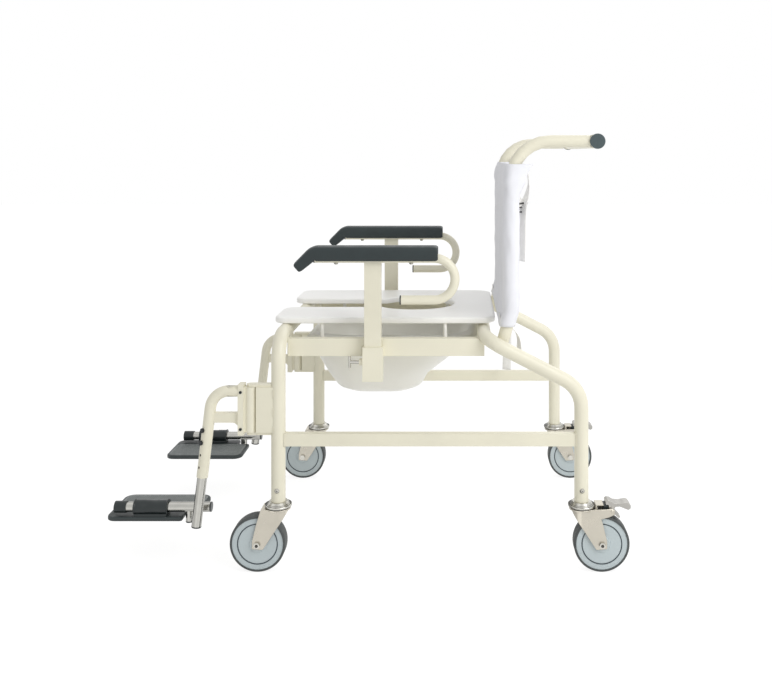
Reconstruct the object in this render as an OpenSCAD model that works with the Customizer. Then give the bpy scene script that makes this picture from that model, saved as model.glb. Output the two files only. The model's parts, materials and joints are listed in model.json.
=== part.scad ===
// Mobile shower and commode chair: welded tube frame on four casters, with a seat board, a pan,
// lift-off arms, swing-away footrests and a fabric back.
// X runs fore and aft with the chair facing -X, Y runs across, Z is up, the floor is at zero.
// Left and right are the occupant's own, so left lies toward -Y.

/* [Frame] */
// Distance between the front and the rear leg axes
wheelbase = 684; // [660:1:700]
// Distance between the left and the right leg axes
track = 580; // [578:1:600]
// Outer diameter of the leg tubes
leg_d = 32; // [31:0.5:33]
// Wall of the round steel tubes
tube_wall = 2; // [1.5:0.1:2]
// Height of the axis of the front cross tube
front_cross_z = 523; // [520:1:530]
// Bend radius of the corners of the front leg frame
front_bend_r = 55; // [52:1:75]
// Height of the axis of the rear cross tube
rear_cross_z = 519.5; // [519:0.5:521]
// Fore and aft run of the slanted tubes of the rear leg frame
slant_run = 218; // [210:1:225]
// Angle at which the slanted tubes rise, in degrees
slant_angle = 27.2; // [25:0.1:29]
// Bend radius of the knees of the rear leg frame
knee_bend_r = 70; // [60:1:75]
// Bend radius where the slanted tubes turn into the rear cross tube
rear_bend_r = 50; // [45:1:60]
// Height of the lower rails
low_rail = 28; // [26:1:32]
// Width of the lower rails
low_rail_w = 18; // [16:1:28]
// Height of the axis of the lower rails
low_rail_z = 293.5; // [285:0.5:294]
// Wall of the square and flat rails
rail_wall = 2; // [1.5:0.1:2.5]
// Height of the flat upper rails
up_rail_h = 40; // [36:1:42]
// Width of the flat upper rails
up_rail_w = 20; // [18:1:22]
// Height of the top of the upper rails
up_rail_top_z = 514; // [512:0.5:515]
// Distance from the middle of a leg in to the outer face of an upper rail
up_rail_in = 29; // [29:0.5:31]
// Width of the angle on the inner face of an upper rail
ledge_w = 65; // [60:1:66]
// Thickness of that angle
ledge_t = 3; // [2:0.1:4]
// Height of the top of that angle
ledge_top_z = 497; // [496:0.1:497.2]
// Gap that the weld bead fills between round tubes
weld_gap = 0.2; // [0.1:0.05:0.3]

/* [Back] */
// Outer diameter of the back uprights
upright_d = 28.6; // [27:0.1:29]
// Distance from the axis of an upright forward of the rear leg axis
upright_ahead = 156; // [154:1:160]
// Height of the lower end of an upright
upright_foot_z = 505; // [504:0.5:508]
// Height at which an upright starts to lean
upright_lean_z = 577; // [572:1:580]
// Lean of the foot of an upright, in degrees
upright_lean = 16; // [15:0.5:17]
// Bend radius of that lean
lean_bend_r = 100; // [80:5:120]
// Height of the axis of the push bar
bar_z = 966; // [950:1:985]
// Distance from the axis of an upright back to the push bar
bar_reach = 195; // [185:1:205]
// Bend radius at the top of an upright
top_bend_r = 88; // [55:1:90]
// Outer diameter of the push bar
bar_d = 32; // [30:0.5:34]
// Outer diameter of the caps of the push bar
bar_cap_d = 35; // [34.5:0.5:38]
// Thickness of a cap
bar_cap_t = 5; // [3:0.5:8]
// Length of the spigots of plugs and caps inside their tubes
spigot_len = 14; // [8:1:20]

/* [Back cover] */
// Height of the lower hem of the back cover
cover_bottom_z = 543; // [543:1:550]
// Height of the upper hem of the back cover
cover_top_z = 895; // [860:1:895]
// Outer diameter of the sleeves of the cover
sleeve_d = 39; // [38:0.5:41]
// Thickness of the padded fabric
cover_t = 2.5; // [2:0.1:3]
// Width of the webbing straps
strap_w = 25; // [20:1:26]
// Thickness of the webbing
strap_t = 2; // [1.5:0.1:2.5]
// Distance from the middle of an upright in to the middle of a strap
strap_in = 35.5; // [34.5:0.5:37.5]
// Distance by which a strap stands back from the cover at its widest
strap_out = 58; // [50:1:62]
// Height of that widest place
strap_out_z = 866; // [860:1:870]
// Height of the lower end of the strap behind the buckle
strap_end_z = 689; // [660:1:720]
// Height of the lower end of the tail that hangs below the cover
tail_end_z = 400; // [360:1:450]
// Height of the middle of a buckle
buckle_z = 812; // [790:1:820]
// Height of a buckle
buckle_h = 18; // [14:1:22]
// Thickness of a buckle
buckle_t = 12; // [8:1:14]

/* [Seat] */
// Length of the seat board
seat_len = 522; // [510:1:524]
// Width of the seat board
seat_w = 426; // [420:1:440]
// Thickness of the seat board
seat_t = 14; // [10:0.5:20]
// Distance by which the seat board stands ahead of the front leg axis
seat_ahead = 28; // [26:1:40]
// Corner radius of the seat board
seat_corner_r = 40; // [30:1:50]
// Half of the width of the seat opening at its front
mouth_half = 62; // [50:1:70]
// Radius of the round rear end of the seat opening
well_r = 100; // [90:1:105]
// Distance from the rear edge of the seat board to the seat opening
well_back = 99; // [85:1:120]
// Radius of the inner corners of the two horns of the seat
horn_r = 30; // [20:1:40]
// Diameter of the pegs under the seat board
peg_d = 9; // [7:0.5:12]
// Distance from the inner face of an upper rail in to the middle of a peg
peg_in = 37; // [35:1:45]
// Distance from the front leg axis back to the front pegs
peg_front = 86; // [60:1:120]
// Distance from the front leg axis back to the rear pegs
peg_rear = 375; // [340:1:410]
// Gap between parts that rest on each other and lift or slide
rest_gap = 0.3; // [0.2:0.05:0.4]

/* [Pan] */
// Length of the flange of the commode pan
pan_len = 410; // [380:1:412]
// Distance from the front leg axis back to the flange
pan_behind = 43; // [42:1:60]
// Distance from the inner face of an upper rail in to the edge of the flange
pan_in = 53; // [52:1:57]
// Thickness of the flange and of the walls of the pan
pan_t = 4; // [3:0.1:4]
// Depth of the pan below the top of the flange
pan_depth = 152; // [120:1:160]
// Width of the flange at each side of the bowl
pan_flange_w = 26; // [20:1:48]

/* [Arms] */
// Outer diameter of the arm tubes
arm_d = 21; // [20:0.1:24]
// Height of the axis of the upper run of an arm tube
arm_z = 700; // [680:1:715]
// Distance between the upper and the lower run of an arm tube
arm_drop = 95.2; // [95:0.2:100]
// Bend radius of an arm tube
arm_bend_r = 47.5; // [40:0.1:47.5]
// Distance from the front leg axis back to the front end of the upper run
arm_front = 80; // [70:1:90]
// Distance from the front leg axis back to the front end of the lower run
arm_low_front = 276; // [262:1:290]
// Distance from the front leg axis back to the axis of the rear bends of an arm
arm_turn = 351; // [340:1:360]
// Fore and aft width of an arm post
post_l = 38; // [34:1:40]
// Thickness of an arm post across
post_w = 20; // [18:1:22]
// Distance from the front leg axis back to the middle of an arm post
post_place = 212; // [205:1:220]
// Height of the lower end of an arm post
post_foot_z = 424; // [424:1:440]
// Wall of the sockets that hold the arm posts
socket_wall = 3.5; // [3:0.1:4]
// Height of the lower end of a socket
socket_z = 422; // [418:1:423]
// Length of a socket
socket_h = 77; // [70:1:80]
// Clearance of an arm post in its socket, to each side
post_gap = 0.3; // [0.2:0.05:0.4]
// Height of the axis of the lock screw in a socket
lock_z = 464; // [455:1:470]
// Diameter of the lock screw
lock_d = 8; // [6:0.5:10]
// Length of the lock screw ahead of its socket
lock_out = 30; // [26:1:36]
// Length of the cross bar of the lock screw
lock_bar_len = 26; // [20:1:32]
// Diameter of the cross bar of the lock screw
lock_bar_d = 6; // [4:0.5:7]
// Diameter of the weld nut on a socket
lock_nut_d = 16; // [14:0.5:18]
// Height of the weld nut on a socket
lock_nut_h = 8; // [6:0.5:10]
// Width of an arm pad
pad_w = 52; // [46:1:56]
// Height of the top of an arm pad above the axis of its tube
pad_above = 28; // [24:0.5:30]
// Depth of the lower edge of an arm pad below the axis of its tube
pad_below = 5; // [4:0.5:8]
// Distance by which an arm pad runs on past the start of the rear bend
pad_past = 10; // [5:1:14]
// Reach of the sloping nose of an arm pad ahead of its tube
pad_nose = 42; // [38:1:46]
// Slope of the nose, in degrees
pad_slope = 42; // [38:1:46]
// Thickness of the nose, square to its slope
pad_nose_t = 25; // [22:0.5:28]
// Distance from the front end of the arm tube to the front pad screw
pad_screw_front = 48; // [30:1:80]
// Distance from the front end of the arm tube to the rear pad screw
pad_screw_rear = 219; // [190:1:240]
// Diameter of the shank of a screw
screw_d = 6; // [5:0.5:6]
// Diameter of the head of a screw
screw_head_d = 11; // [9:0.5:12]
// Height of the head of a screw
screw_head_h = 3.5; // [2.5:0.5:4]

/* [Footrests] */
// Distance from the front leg axis ahead to the hinge pin of a footrest
pin_ahead = 62; // [61:0.5:66]
// Diameter of the hinge pin
pin_d = 10; // [8:0.5:12]
// Height of the lower face of a footrest bracket
bracket_z = 305; // [300:1:310]
// Height of a footrest bracket over its two ears
bracket_h = 114; // [110:1:118]
// Width of a footrest bracket and of the barrel of a hanger
bracket_w = 26; // [24:0.5:28]
// Thickness of the ears of a bracket
ear_t = 6; // [4:0.5:8]
// Width of the ears of a bracket
ear_w = 18; // [16:0.5:20]
// Wall of the bracket
bracket_wall = 3; // [2:0.5:4]
// Running clearance of hinge pins, axles and pivots, on the radius
pin_gap = 0.05; // [0.02:0.01:0.08]
// Clearance of a hanger between the ears of its bracket
ear_gap = 0.3; // [0.2:0.05:0.4]
// Distance from the hinge pin ahead to the rear face of the hanger post
post_near = 14; // [13.5:0.5:16]
// Distance from the hinge pin ahead to the front face of the hanger post
post_far = 27; // [25:0.5:30]
// Outer diameter of the hanger tube
hanger_d = 25.4; // [25:0.1:26.5]
// Wall of the hanger tube
hanger_wall = 1.6; // [1.5:0.1:1.8]
// Height of the axis of the upper run of a hanger
hanger_z = 402; // [398:1:404]
// Distance from the hinge pin ahead to the corner of the hanger tube
hanger_reach = 87; // [82:0.2:88]
// Bend radius of the hanger tube
hanger_bend_r = 42; // [40:1:60]
// Lean of the lower run of a hanger, in degrees
hanger_lean = 6.75; // [5:0.25:8]
// Length of the hanger tube along its lean, from the corner down
hanger_drop = 195; // [188:1:200]
// Height of the axis of the brace of a hanger
brace_z = 343; // [336:1:350]
// Height of the brace
brace_h = 22; // [18:0.5:24]
// Thickness of the brace
brace_t = 12; // [8:0.5:16]
// Radius of the gusset under the brace
gusset_r = 14; // [10:1:18]
// Distance from the corner down to the first height bolt
bolt_drop = 88; // [84:1:92]
// Distance between the height holes
hole_pitch = 28; // [26:1:28]
// Angle round the tube at which the height bolts stand, in degrees
bolt_turn = 40; // [20:5:50]
// Diameter of the shank of a bolt
bolt_d = 6; // [5:0.5:6]
// Width across flats of the head of a bolt
bolt_flats = 10; // [8:0.5:10]
// Height of the head of a bolt
bolt_head_h = 4; // [3:0.5:6]
// Gap between a tube or a bolt and the part that slides past it
slide_gap = 0.1; // [0.05:0.01:0.1]
// Distance from the corner down to the upper end of the extension
extension_top = 72; // [66:1:80]
// Distance from the corner down to the lower end of the extension
extension_end = 306; // [300:1:310]
// Wall of the extension and of the foot tube
extension_wall = 2; // [1.5:0.1:2.5]
// Distance by which the foot tube stands inboard of the hanger
foot_inset = 32; // [30:1:34]
// Height of the axis of the foot tube
foot_z = 128; // [122:0.5:130]
// Outer diameter of the foot tube
foot_d = 22; // [20:0.5:23]
// Distance from the front leg axis ahead to the rear end of the foot tube
foot_rear = 162; // [150:1:164]
// Distance from the front leg axis ahead to the front end of the foot tube
foot_front = 380; // [376:1:391]
// Length of the rubber cap over the front end of the foot tube
foot_cap_len = 27; // [22:1:32]
// Wall of that cap
foot_cap_wall = 2; // [1.5:0.5:3]
// Thickness of the end plugs of the arm, foot and extension tubes
plug_t = 3; // [2:0.5:5]
// Distance from the front leg axis ahead to the stop of a footplate
stop_ahead = 210; // [206:1:212]
// Diameter of that stop
stop_d = 17; // [14:0.5:18]
// Depth of the stop below the axis of the foot tube
stop_drop = 31; // [28:0.5:34]

/* [Footplates] */
// Distance from the front leg axis ahead to the front edge of a footplate
front_reach = 397; // [393:1:402]
// Length of a footplate
plate_len = 207; // [200:1:212]
// Thickness of a footplate
plate_t = 10; // [8:0.5:15]
// Height of the top of a footplate
plate_top_z = 111.5; // [104:0.5:113]
// Height of the tread field above the border of the plate
tread_t = 0.8; // [0.5:0.1:1.5]
// Width of the border around the tread field
tread_in = 6; // [4:1:10]
// Reach of a footplate outboard of its tube
plate_out = 18; // [17:0.5:20]
// Reach of a footplate inboard of its tube
plate_in = 121; // [100:1:124]
// Corner radius of a footplate
plate_corner_r = 22; // [14:1:30]
// Length of the notch that clears the stop
notch_len = 33; // [32:1:35]
// Width of the notch from the axis of the tube inboard
notch_half = 18; // [16:0.5:20]
// Distance from the front edge of the plate back to its clamp
clamp_back = 63; // [45:1:65]
// Length of the clamp
clamp_len = 75; // [65:1:90]
// Outer radius of the clamp
clamp_r = 16; // [14.5:0.5:16]
// Height and width of the rims at the ends of the clamp
clamp_rim = 1.5; // [1:0.25:2]

/* [Casters] */
// Diameter of a wheel
wheel_d = 125; // [120:1:127]
// Width of a tyre
wheel_w = 32; // [28:1:33]
// Thickness of a tyre
tyre_t = 5; // [4:0.5:10]
// Radius of the shoulders of a tyre
shoulder_r = 3; // [2:0.5:4]
// Distance from the swivel axis back to the axle
trail = 44; // [40:1:46]
// Diameter of an axle bolt
axle_d = 8; // [6:0.5:10]
// Width across flats of the heads of an axle bolt
axle_flats = 13; // [11:0.5:15]
// Height of the heads of an axle bolt
axle_head_h = 5; // [3:0.5:6]
// Diameter of the hub of a wheel
hub_d = 34; // [28:1:40]
// Radius of the groove in the face of a wheel
groove_r = 44; // [40:0.5:48]
// Width and depth of that groove
groove_w = 1.5; // [1:0.1:2]
// Half of the inner width of a fork
fork_inner = 18; // [17.5:0.25:19]
// Thickness of the fork sheet
fork_t = 3; // [2:0.1:3]
// Height of the under side of the top plate of a fork
fork_top_z = 137.7; // [136:0.1:138]
// Thickness of the top plate of a fork
fork_top_t = 3.5; // [3:0.1:3.5]
// Height of the top of a caster head, where a leg stands on it
head_top_z = 155; // [153:0.5:158]
// Diameter of a caster head
head_d = 58.8; // [54:0.2:60]
// Clearance between a caster head and its fork
head_gap = 0.3; // [0.2:0.05:0.4]
// Diameter of the kingpin
kingpin_d = 12; // [10:0.5:14]
// Length of the stem inside a leg
stem_len = 60; // [50:1:80]
// Height of a leg screw above the caster head
leg_screw_up = 27; // [15:1:30]

/* [Brakes] */
// Distance from the swivel axis to the tip of the brake pedal
rear_reach = 109; // [106:1:112]
// Distance from the swivel axis to the pivot of the pedal
pivot_x = 66; // [65:0.5:68]
// Height of the pivot of the pedal
pivot_z = 137; // [136:0.5:138]
// Diameter of the pivot pin
pivot_d = 6; // [5:0.5:7]
// Radius of the barrel of the pedal
pedal_barrel_r = 6; // [5:0.5:6.5]
// Width of the pedal
pedal_w = 28; // [22:1:32]
// Width of the tongue of a rear fork and of the rubber block behind it
tongue_w = 26; // [20:1:28]
// Height of the top of the tongue
tongue_top_z = 150.5; // [149:0.5:152]
// Distance from the swivel axis to the end of the tongue
tongue_x = 48; // [46:0.5:49]
// Length of the rubber block
block_len = 10; // [8:0.5:10.5]

/* [Hidden] */
$fn = 48;

// Signs of the two sides, and steps in a drawn quarter round
left = -1;
right = 1;
arc_steps = 6;
// Sides of a swept tube
sweep_sides = 24;
// Overrun of every cut past the face that it opens
over = 1;

// Colours
cream = [0.92, 0.90, 0.83];
steel = [0.74, 0.73, 0.70];
dark = [0.17, 0.22, 0.23];
white = [0.96, 0.96, 0.95];
wheel_grey = [0.65, 0.71, 0.75];

// The length over everything, and the places of the legs about the middle of it
full_len = front_reach + wheelbase + rear_reach;
front_x = front_reach - full_len / 2;
rear_x = front_x + wheelbase;
side_y = track / 2;
leg_r = leg_d / 2;
up_rail_out = side_y - up_rail_in;
up_rail_face = up_rail_out - up_rail_w;
knee_z = rear_cross_z - slant_run * tan(slant_angle);
rear_cross_x = rear_x - slant_run;

// Points of the bent tubes of the frame
front_frame_points = [
    [front_x, -side_y, head_top_z], [front_x, -side_y, front_cross_z],
    [front_x, side_y, front_cross_z], [front_x, side_y, head_top_z]];
rear_frame_points = [
    [rear_x, -side_y, head_top_z], [rear_x, -side_y, knee_z], [rear_cross_x, -side_y, rear_cross_z],
    [rear_cross_x, side_y, rear_cross_z], [rear_x, side_y, knee_z], [rear_x, side_y, head_top_z]];
function rear_corner_points(side) = [
    [rear_x, side * side_y, knee_z], [rear_cross_x, side * side_y, rear_cross_z],
    [rear_cross_x, 0, rear_cross_z]];

// Places of the uprights and of the push bar
upright_r = upright_d / 2;
upright_x = rear_x - upright_ahead;
upright_y = side_y - leg_r - weld_gap - upright_r;
foot_x = upright_x - (upright_lean_z - upright_foot_z) * tan(upright_lean);
bar_x = upright_x + bar_reach;
bar_half = upright_y + upright_r + weld_gap;
function upright_points(side) = [
    [foot_x, side * upright_y, upright_foot_z], [upright_x, side * upright_y, upright_lean_z],
    [upright_x, side * upright_y, bar_z], [bar_x - bar_d / 2 - weld_gap, side * upright_y, bar_z]];

// Points along a circular arc in the plane
function arc(centre, r, from, to) =
    [for (i = [0 : arc_steps])
        centre + r * [cos(from + (to - from) * i / arc_steps), sin(from + (to - from) * i / arc_steps)]];

// A rectangle with round corners, from its lower left to its upper right corner
function round_rect(low, high, r) = concat(
    arc([high.x - r, high.y - r], r, 0, 90), arc([low.x + r, high.y - r], r, 90, 180),
    arc([low.x + r, low.y + r], r, 180, 270), arc([high.x - r, low.y + r], r, 270, 360));

function unit(v) = v / norm(v);
function heading(points, i) = unit(points[i + 1] - points[i]);
// Length of a run that the bend at its end takes up
function setback(points, bends, i) =
    i == 0 || i == len(points) - 1 ? 0
    : bends[i - 1] * tan(acos(heading(points, i - 1) * heading(points, i)) / 2);

// Turns the Z axis of its children onto the direction v
module along(v) {
    rotate([0, acos(v.z / norm(v)), atan2(v.y, v.x)])
        children();
}

// A straight tube up the Z axis, or a bar where the wall is zero
module pipe(length, r, wall) {
    difference() {
        cylinder(h = length, r = r);
        if (wall > 0)
            translate([0, 0, -over])
                cylinder(h = length + 2 * over, r = r - wall);
    }
}

// The bend of a tube at a corner, between the directions into it and out of it
module elbow(corner, into, out, bend_r, r, wall) {
    turn = acos(into * out);
    inward = unit(out - into * (into * out));
    centre = corner - into * bend_r * tan(turn / 2) + inward * bend_r;
    side = cross(-inward, into);
    multmatrix([
        [-inward.x, into.x, side.x, centre.x],
        [-inward.y, into.y, side.y, centre.y],
        [-inward.z, into.z, side.z, centre.z],
        [0, 0, 0, 1]])
        rotate_extrude(angle = turn)
            translate([bend_r, 0])
                difference() {
                    circle(r = r);
                    if (wall > 0)
                        circle(r = r - wall);
                }
}

// A tube through a row of points with a bend at each inner one
module bent_tube(points, bends, r, wall) {
    for (i = [0 : len(points) - 2]) {
        start = setback(points, bends, i);
        translate(points[i] + heading(points, i) * start)
            along(heading(points, i))
                pipe(norm(points[i + 1] - points[i]) - start - setback(points, bends, i + 1), r, wall);
    }
    for (i = [1 : len(points) - 2])
        elbow(points[i], heading(points, i - 1), heading(points, i), bends[i - 1], r, wall);
}

// Middle and direction of each ring round the bend at an inner point
function bend_rings(points, bends, i) =
    let (into = heading(points, i - 1), out = heading(points, i), turn = acos(into * out),
        inward = unit(out - into * (into * out)), bend_r = bends[i - 1],
        centre = points[i] - into * bend_r * tan(turn / 2) + inward * bend_r)
    [for (k = [0 : arc_steps])
        let (t = turn * k / arc_steps)
            [centre + bend_r * (into * sin(t) - inward * cos(t)), into * cos(t) + inward * sin(t)]];
function tube_rings(points, bends) = concat(
    [[points[0], heading(points, 0)]],
    [for (i = [1 : len(points) - 2]) each bend_rings(points, bends, i)],
    [[points[len(points) - 1], heading(points, len(points) - 2)]]);
// Carries a sideways direction from ring to ring without a twist
function carried(rings, i, u) =
    i == len(rings) ? []
    : let (t = rings[i][1], v = unit(u - t * (u * t))) concat([v], carried(rings, i + 1, v));

// The same tube as one swept skin, for bends that lie askew; its inner flats keep the full bore
module swept_tube(points, bends, r, wall) {
    rings = tube_rings(points, bends);
    across = carried(rings, 0, [0, 1, 0]);
    last = len(rings) - 1;
    n = sweep_sides;
    inner = (last + 1) * n;
    spots = [for (radius = [r, (r - wall) / cos(180 / n)], i = [0 : last], k = [0 : n - 1])
        let (u = across[i], v = cross(rings[i][1], u), a = 360 * k / n)
            rings[i][0] + radius * (u * cos(a) + v * sin(a))];
    walls = [for (i = [0 : last - 1], k = [0 : n - 1])
        let (a = i * n + k, b = i * n + (k + 1) % n)
            each [[a, a + n, b + n], [a, b + n, b],
                [inner + a, inner + b, inner + b + n], [inner + a, inner + b + n, inner + a + n]]];
    ends = [for (k = [0 : n - 1])
        let (a = k, b = (k + 1) % n, c = last * n + k, d = last * n + (k + 1) % n)
            each [[a, b, inner + b], [a, inner + b, inner + a],
                [c, inner + c, inner + d], [c, inner + d, d]]];
    polyhedron(spots, concat(walls, ends));
}

// A plate with its outline in the XZ plane, centred across at a place along Y
module side_prism(points, width, y = 0) {
    translate([0, y, 0])
        rotate([90, 0, 0])
            linear_extrude(height = width, center = true)
                polygon(points);
}

// A box from its middle and its three sizes
module block(middle, size) {
    translate(middle)
        cube(size, center = true);
}

// A bar along Y through a place in the XZ plane
module cross_bar(x, y, z, length, r) {
    translate([x, y, z])
        rotate([90, 0, 0])
            cylinder(h = length, r = r, center = true);
}

module front_leg_frame() {
    color(cream)
        difference() {
            bent_tube(front_frame_points, [front_bend_r, front_bend_r], leg_r, tube_wall);
            leg_screw_holes(front_x);
        }
}

module rear_leg_frame() {
    color(cream)
        difference() {
            swept_tube(rear_frame_points, [knee_bend_r, rear_bend_r, rear_bend_r, knee_bend_r], leg_r, tube_wall);
            leg_screw_holes(rear_x);
        }
}

module leg_screw_holes(x) {
    for (side = [left, right])
        cross_bar(x, side * (side_y + leg_r), head_top_z + leg_screw_up, leg_d, screw_d / 2 + pin_gap);
}

// Flat tubes that run between the legs, cut to the round of the legs
module lower_rails() {
    color(cream)
        for (side = [left, right])
            difference() {
                block([(front_x + rear_x) / 2, side * side_y, low_rail_z], [wheelbase, low_rail_w, low_rail]);
                block([(front_x + rear_x) / 2, side * side_y, low_rail_z],
                    [wheelbase + over, low_rail_w - 2 * rail_wall, low_rail - 2 * rail_wall]);
                for (x = [front_x, rear_x])
                    translate([x, side * side_y, low_rail_z - low_rail])
                        cylinder(h = 2 * low_rail, r = leg_r + weld_gap);
            }
}

// Flat tube under the seat with the angle that carries the pan and the seat pegs
up_rail_front = front_x + leg_r + weld_gap;
up_rail_len = rear_cross_x - up_rail_front;
up_rail_y = up_rail_out - up_rail_w / 2;
ledge_back = rear_cross_x - leg_r;
module upper_rail(side) {
    color(cream)
        difference() {
            union() {
                block([up_rail_front + up_rail_len / 2, side * up_rail_y, up_rail_top_z - up_rail_h / 2],
                    [up_rail_len, up_rail_w, up_rail_h]);
                block([(up_rail_front + ledge_back) / 2, side * (up_rail_face - ledge_w / 2),
                    ledge_top_z - ledge_t / 2], [ledge_back - up_rail_front, ledge_w, ledge_t]);
            }
            block([up_rail_front + up_rail_len / 2, side * up_rail_y, up_rail_top_z - up_rail_h / 2],
                [up_rail_len + over, up_rail_w - 2 * rail_wall, up_rail_h - 2 * rail_wall]);
            bent_tube(rear_corner_points(side), [rear_bend_r], leg_r + weld_gap, 0);
        }
}

module upper_rail_left() { upper_rail(left); }
module upper_rail_right() { upper_rail(right); }

// A bent tube welded inside the slanted tube, its top end welded to the push bar
module back_upright(side) {
    color(cream)
        swept_tube(upright_points(side), [lean_bend_r, top_bend_r], upright_r, tube_wall);
}

module back_upright_left() { back_upright(left); }
module back_upright_right() { back_upright(right); }

module push_bar() {
    color(cream)
        difference() {
            cross_bar(bar_x, 0, bar_z, 2 * bar_half, bar_d / 2);
            cross_bar(bar_x, 0, bar_z, track, bar_d / 2 - tube_wall);
        }
}

module push_bar_caps() {
    color(dark)
        for (side = [left, right]) {
            cross_bar(bar_x, side * (bar_half + bar_cap_t / 2), bar_z, bar_cap_t, bar_cap_d / 2);
            cross_bar(bar_x, side * (bar_half - spigot_len / 2), bar_z, spigot_len, bar_d / 2 - tube_wall - pin_gap);
        }
}

// Rectangular sockets outside the upper rails, with a weld nut for the lock screw
post_x = front_x + post_place;
post_y = up_rail_out + socket_wall + post_gap + post_w / 2;
socket_l = post_l + 2 * post_gap + 2 * socket_wall;
socket_w = post_w + 2 * post_gap + 2 * socket_wall;
module arm_sockets() {
    color(cream)
        for (side = [left, right])
            difference() {
                union() {
                    block([post_x, side * post_y, socket_z + socket_h / 2], [socket_l, socket_w, socket_h]);
                    translate([post_x - socket_l / 2 - lock_nut_h, side * post_y, lock_z])
                        along([1, 0, 0])
                            cylinder(h = lock_nut_h + socket_wall / 2, r = lock_nut_d / 2);
                }
                block([post_x, side * post_y, socket_z + socket_h / 2],
                    [post_l + 2 * post_gap, post_w + 2 * post_gap, socket_h + over]);
                translate([post_x - socket_l / 2 - lock_nut_h - over, side * post_y, lock_z])
                    along([1, 0, 0])
                        cylinder(h = socket_l / 2 + lock_nut_h, r = lock_d / 2 + pin_gap);
            }
}

// Vertical box on the front of a leg, with two ears and the fixed hinge pin between them
pin_x = front_x - pin_ahead;
bracket_front = pin_x + post_near;
module footrest_bracket(side) {
    middle_z = bracket_z + bracket_h / 2;
    color(cream)
        difference() {
            union() {
                block([(bracket_front + front_x) / 2, side * side_y, middle_z],
                    [front_x - bracket_front, bracket_w, bracket_h - 2 * ear_t]);
                for (z = [bracket_z, bracket_z + bracket_h - ear_t])
                    translate([0, side * side_y, z]) {
                        translate([pin_x, -ear_w / 2, 0])
                            cube([pin_ahead, ear_w, ear_t]);
                        translate([pin_x, 0, 0])
                            cylinder(h = ear_t, r = ear_w / 2);
                    }
                translate([pin_x, side * side_y, bracket_z])
                    cylinder(h = bracket_h, r = pin_d / 2);
            }
            block([(bracket_front + front_x) / 2, side * side_y, middle_z],
                [front_x - bracket_front - 2 * bracket_wall, bracket_w - 2 * bracket_wall,
                    bracket_h - 2 * ear_t - over]);
            translate([front_x, side * side_y, bracket_z - over])
                cylinder(h = bracket_h + 2 * over, r = leg_r + weld_gap);
        }
}

module footrest_bracket_left() { footrest_bracket(left); }
module footrest_bracket_right() { footrest_bracket(right); }

// Stem, race and riveted kingpin of each caster, fixed in its leg
module caster_heads() {
    stem_r = leg_r - tube_wall - pin_gap;
    fork_top = fork_top_z + fork_top_t;
    rim = (head_top_z - fork_top) / 3;
    color(steel)
        for (x = [front_x, rear_x], side = [left, right])
            translate([x, side * side_y, 0])
                difference() {
                    rotate_extrude()
                        polygon([
                            [0, fork_top_z - head_gap - rim], [kingpin_d, fork_top_z - head_gap - rim],
                            [kingpin_d, fork_top_z - head_gap], [kingpin_d / 2, fork_top_z - head_gap],
                            [kingpin_d / 2, fork_top + head_gap], [head_d / 2 - rim, fork_top + head_gap],
                            [head_d / 2, fork_top + rim], [head_d / 2 - rim, head_top_z - rim],
                            [leg_r + rim, head_top_z], [stem_r, head_top_z],
                            [stem_r, head_top_z + stem_len], [0, head_top_z + stem_len]]);
                    cross_bar(0, side * leg_r, head_top_z + leg_screw_up, leg_d, screw_d / 2 + pin_gap);
                }
}

// A pan head with its shank below it, along the Z axis
module screw(shank) {
    cylinder(h = screw_head_h, r1 = screw_head_d / 2, r2 = screw_d / 2);
    translate([0, 0, -shank])
        cylinder(h = shank, r = screw_d / 2);
}

module leg_screws() {
    color(steel)
        for (x = [front_x, rear_x], side = [left, right])
            translate([x, side * (side_y + leg_r + weld_gap), head_top_z + leg_screw_up])
                along([0, side, 0])
                    screw(leg_r - over);
}

// Padded cloth that hangs on the uprights by a sleeve along each edge
module back_cover() {
    lean_x = (upright_lean_z - cover_bottom_z) * tan(upright_lean);
    color(white) {
        translate([0, 0, upright_lean_z])
            cover_band(upright_x, sleeve_d / 2, cover_top_z - upright_lean_z);
        translate([0, 0, cover_bottom_z])
            cover_band(upright_x - lean_x / 2, sleeve_d / 2 + lean_x / 4, upright_lean_z - cover_bottom_z);
    }
}

// A level band of the cover: the front panel with a sleeve at each edge
module cover_band(x, r, height) {
    face_x = x - r + cover_t / 4;
    difference() {
        union() {
            translate([face_x, -upright_y, 0])
                cube([cover_t, 2 * upright_y, height]);
            for (side = [left, right])
                translate([x, side * upright_y, 0])
                    cylinder(h = height, r = r);
        }
        for (side = [left, right])
            translate([x, side * upright_y, -over])
                cylinder(h = height + 2 * over, r = r - cover_t);
    }
}

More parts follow.
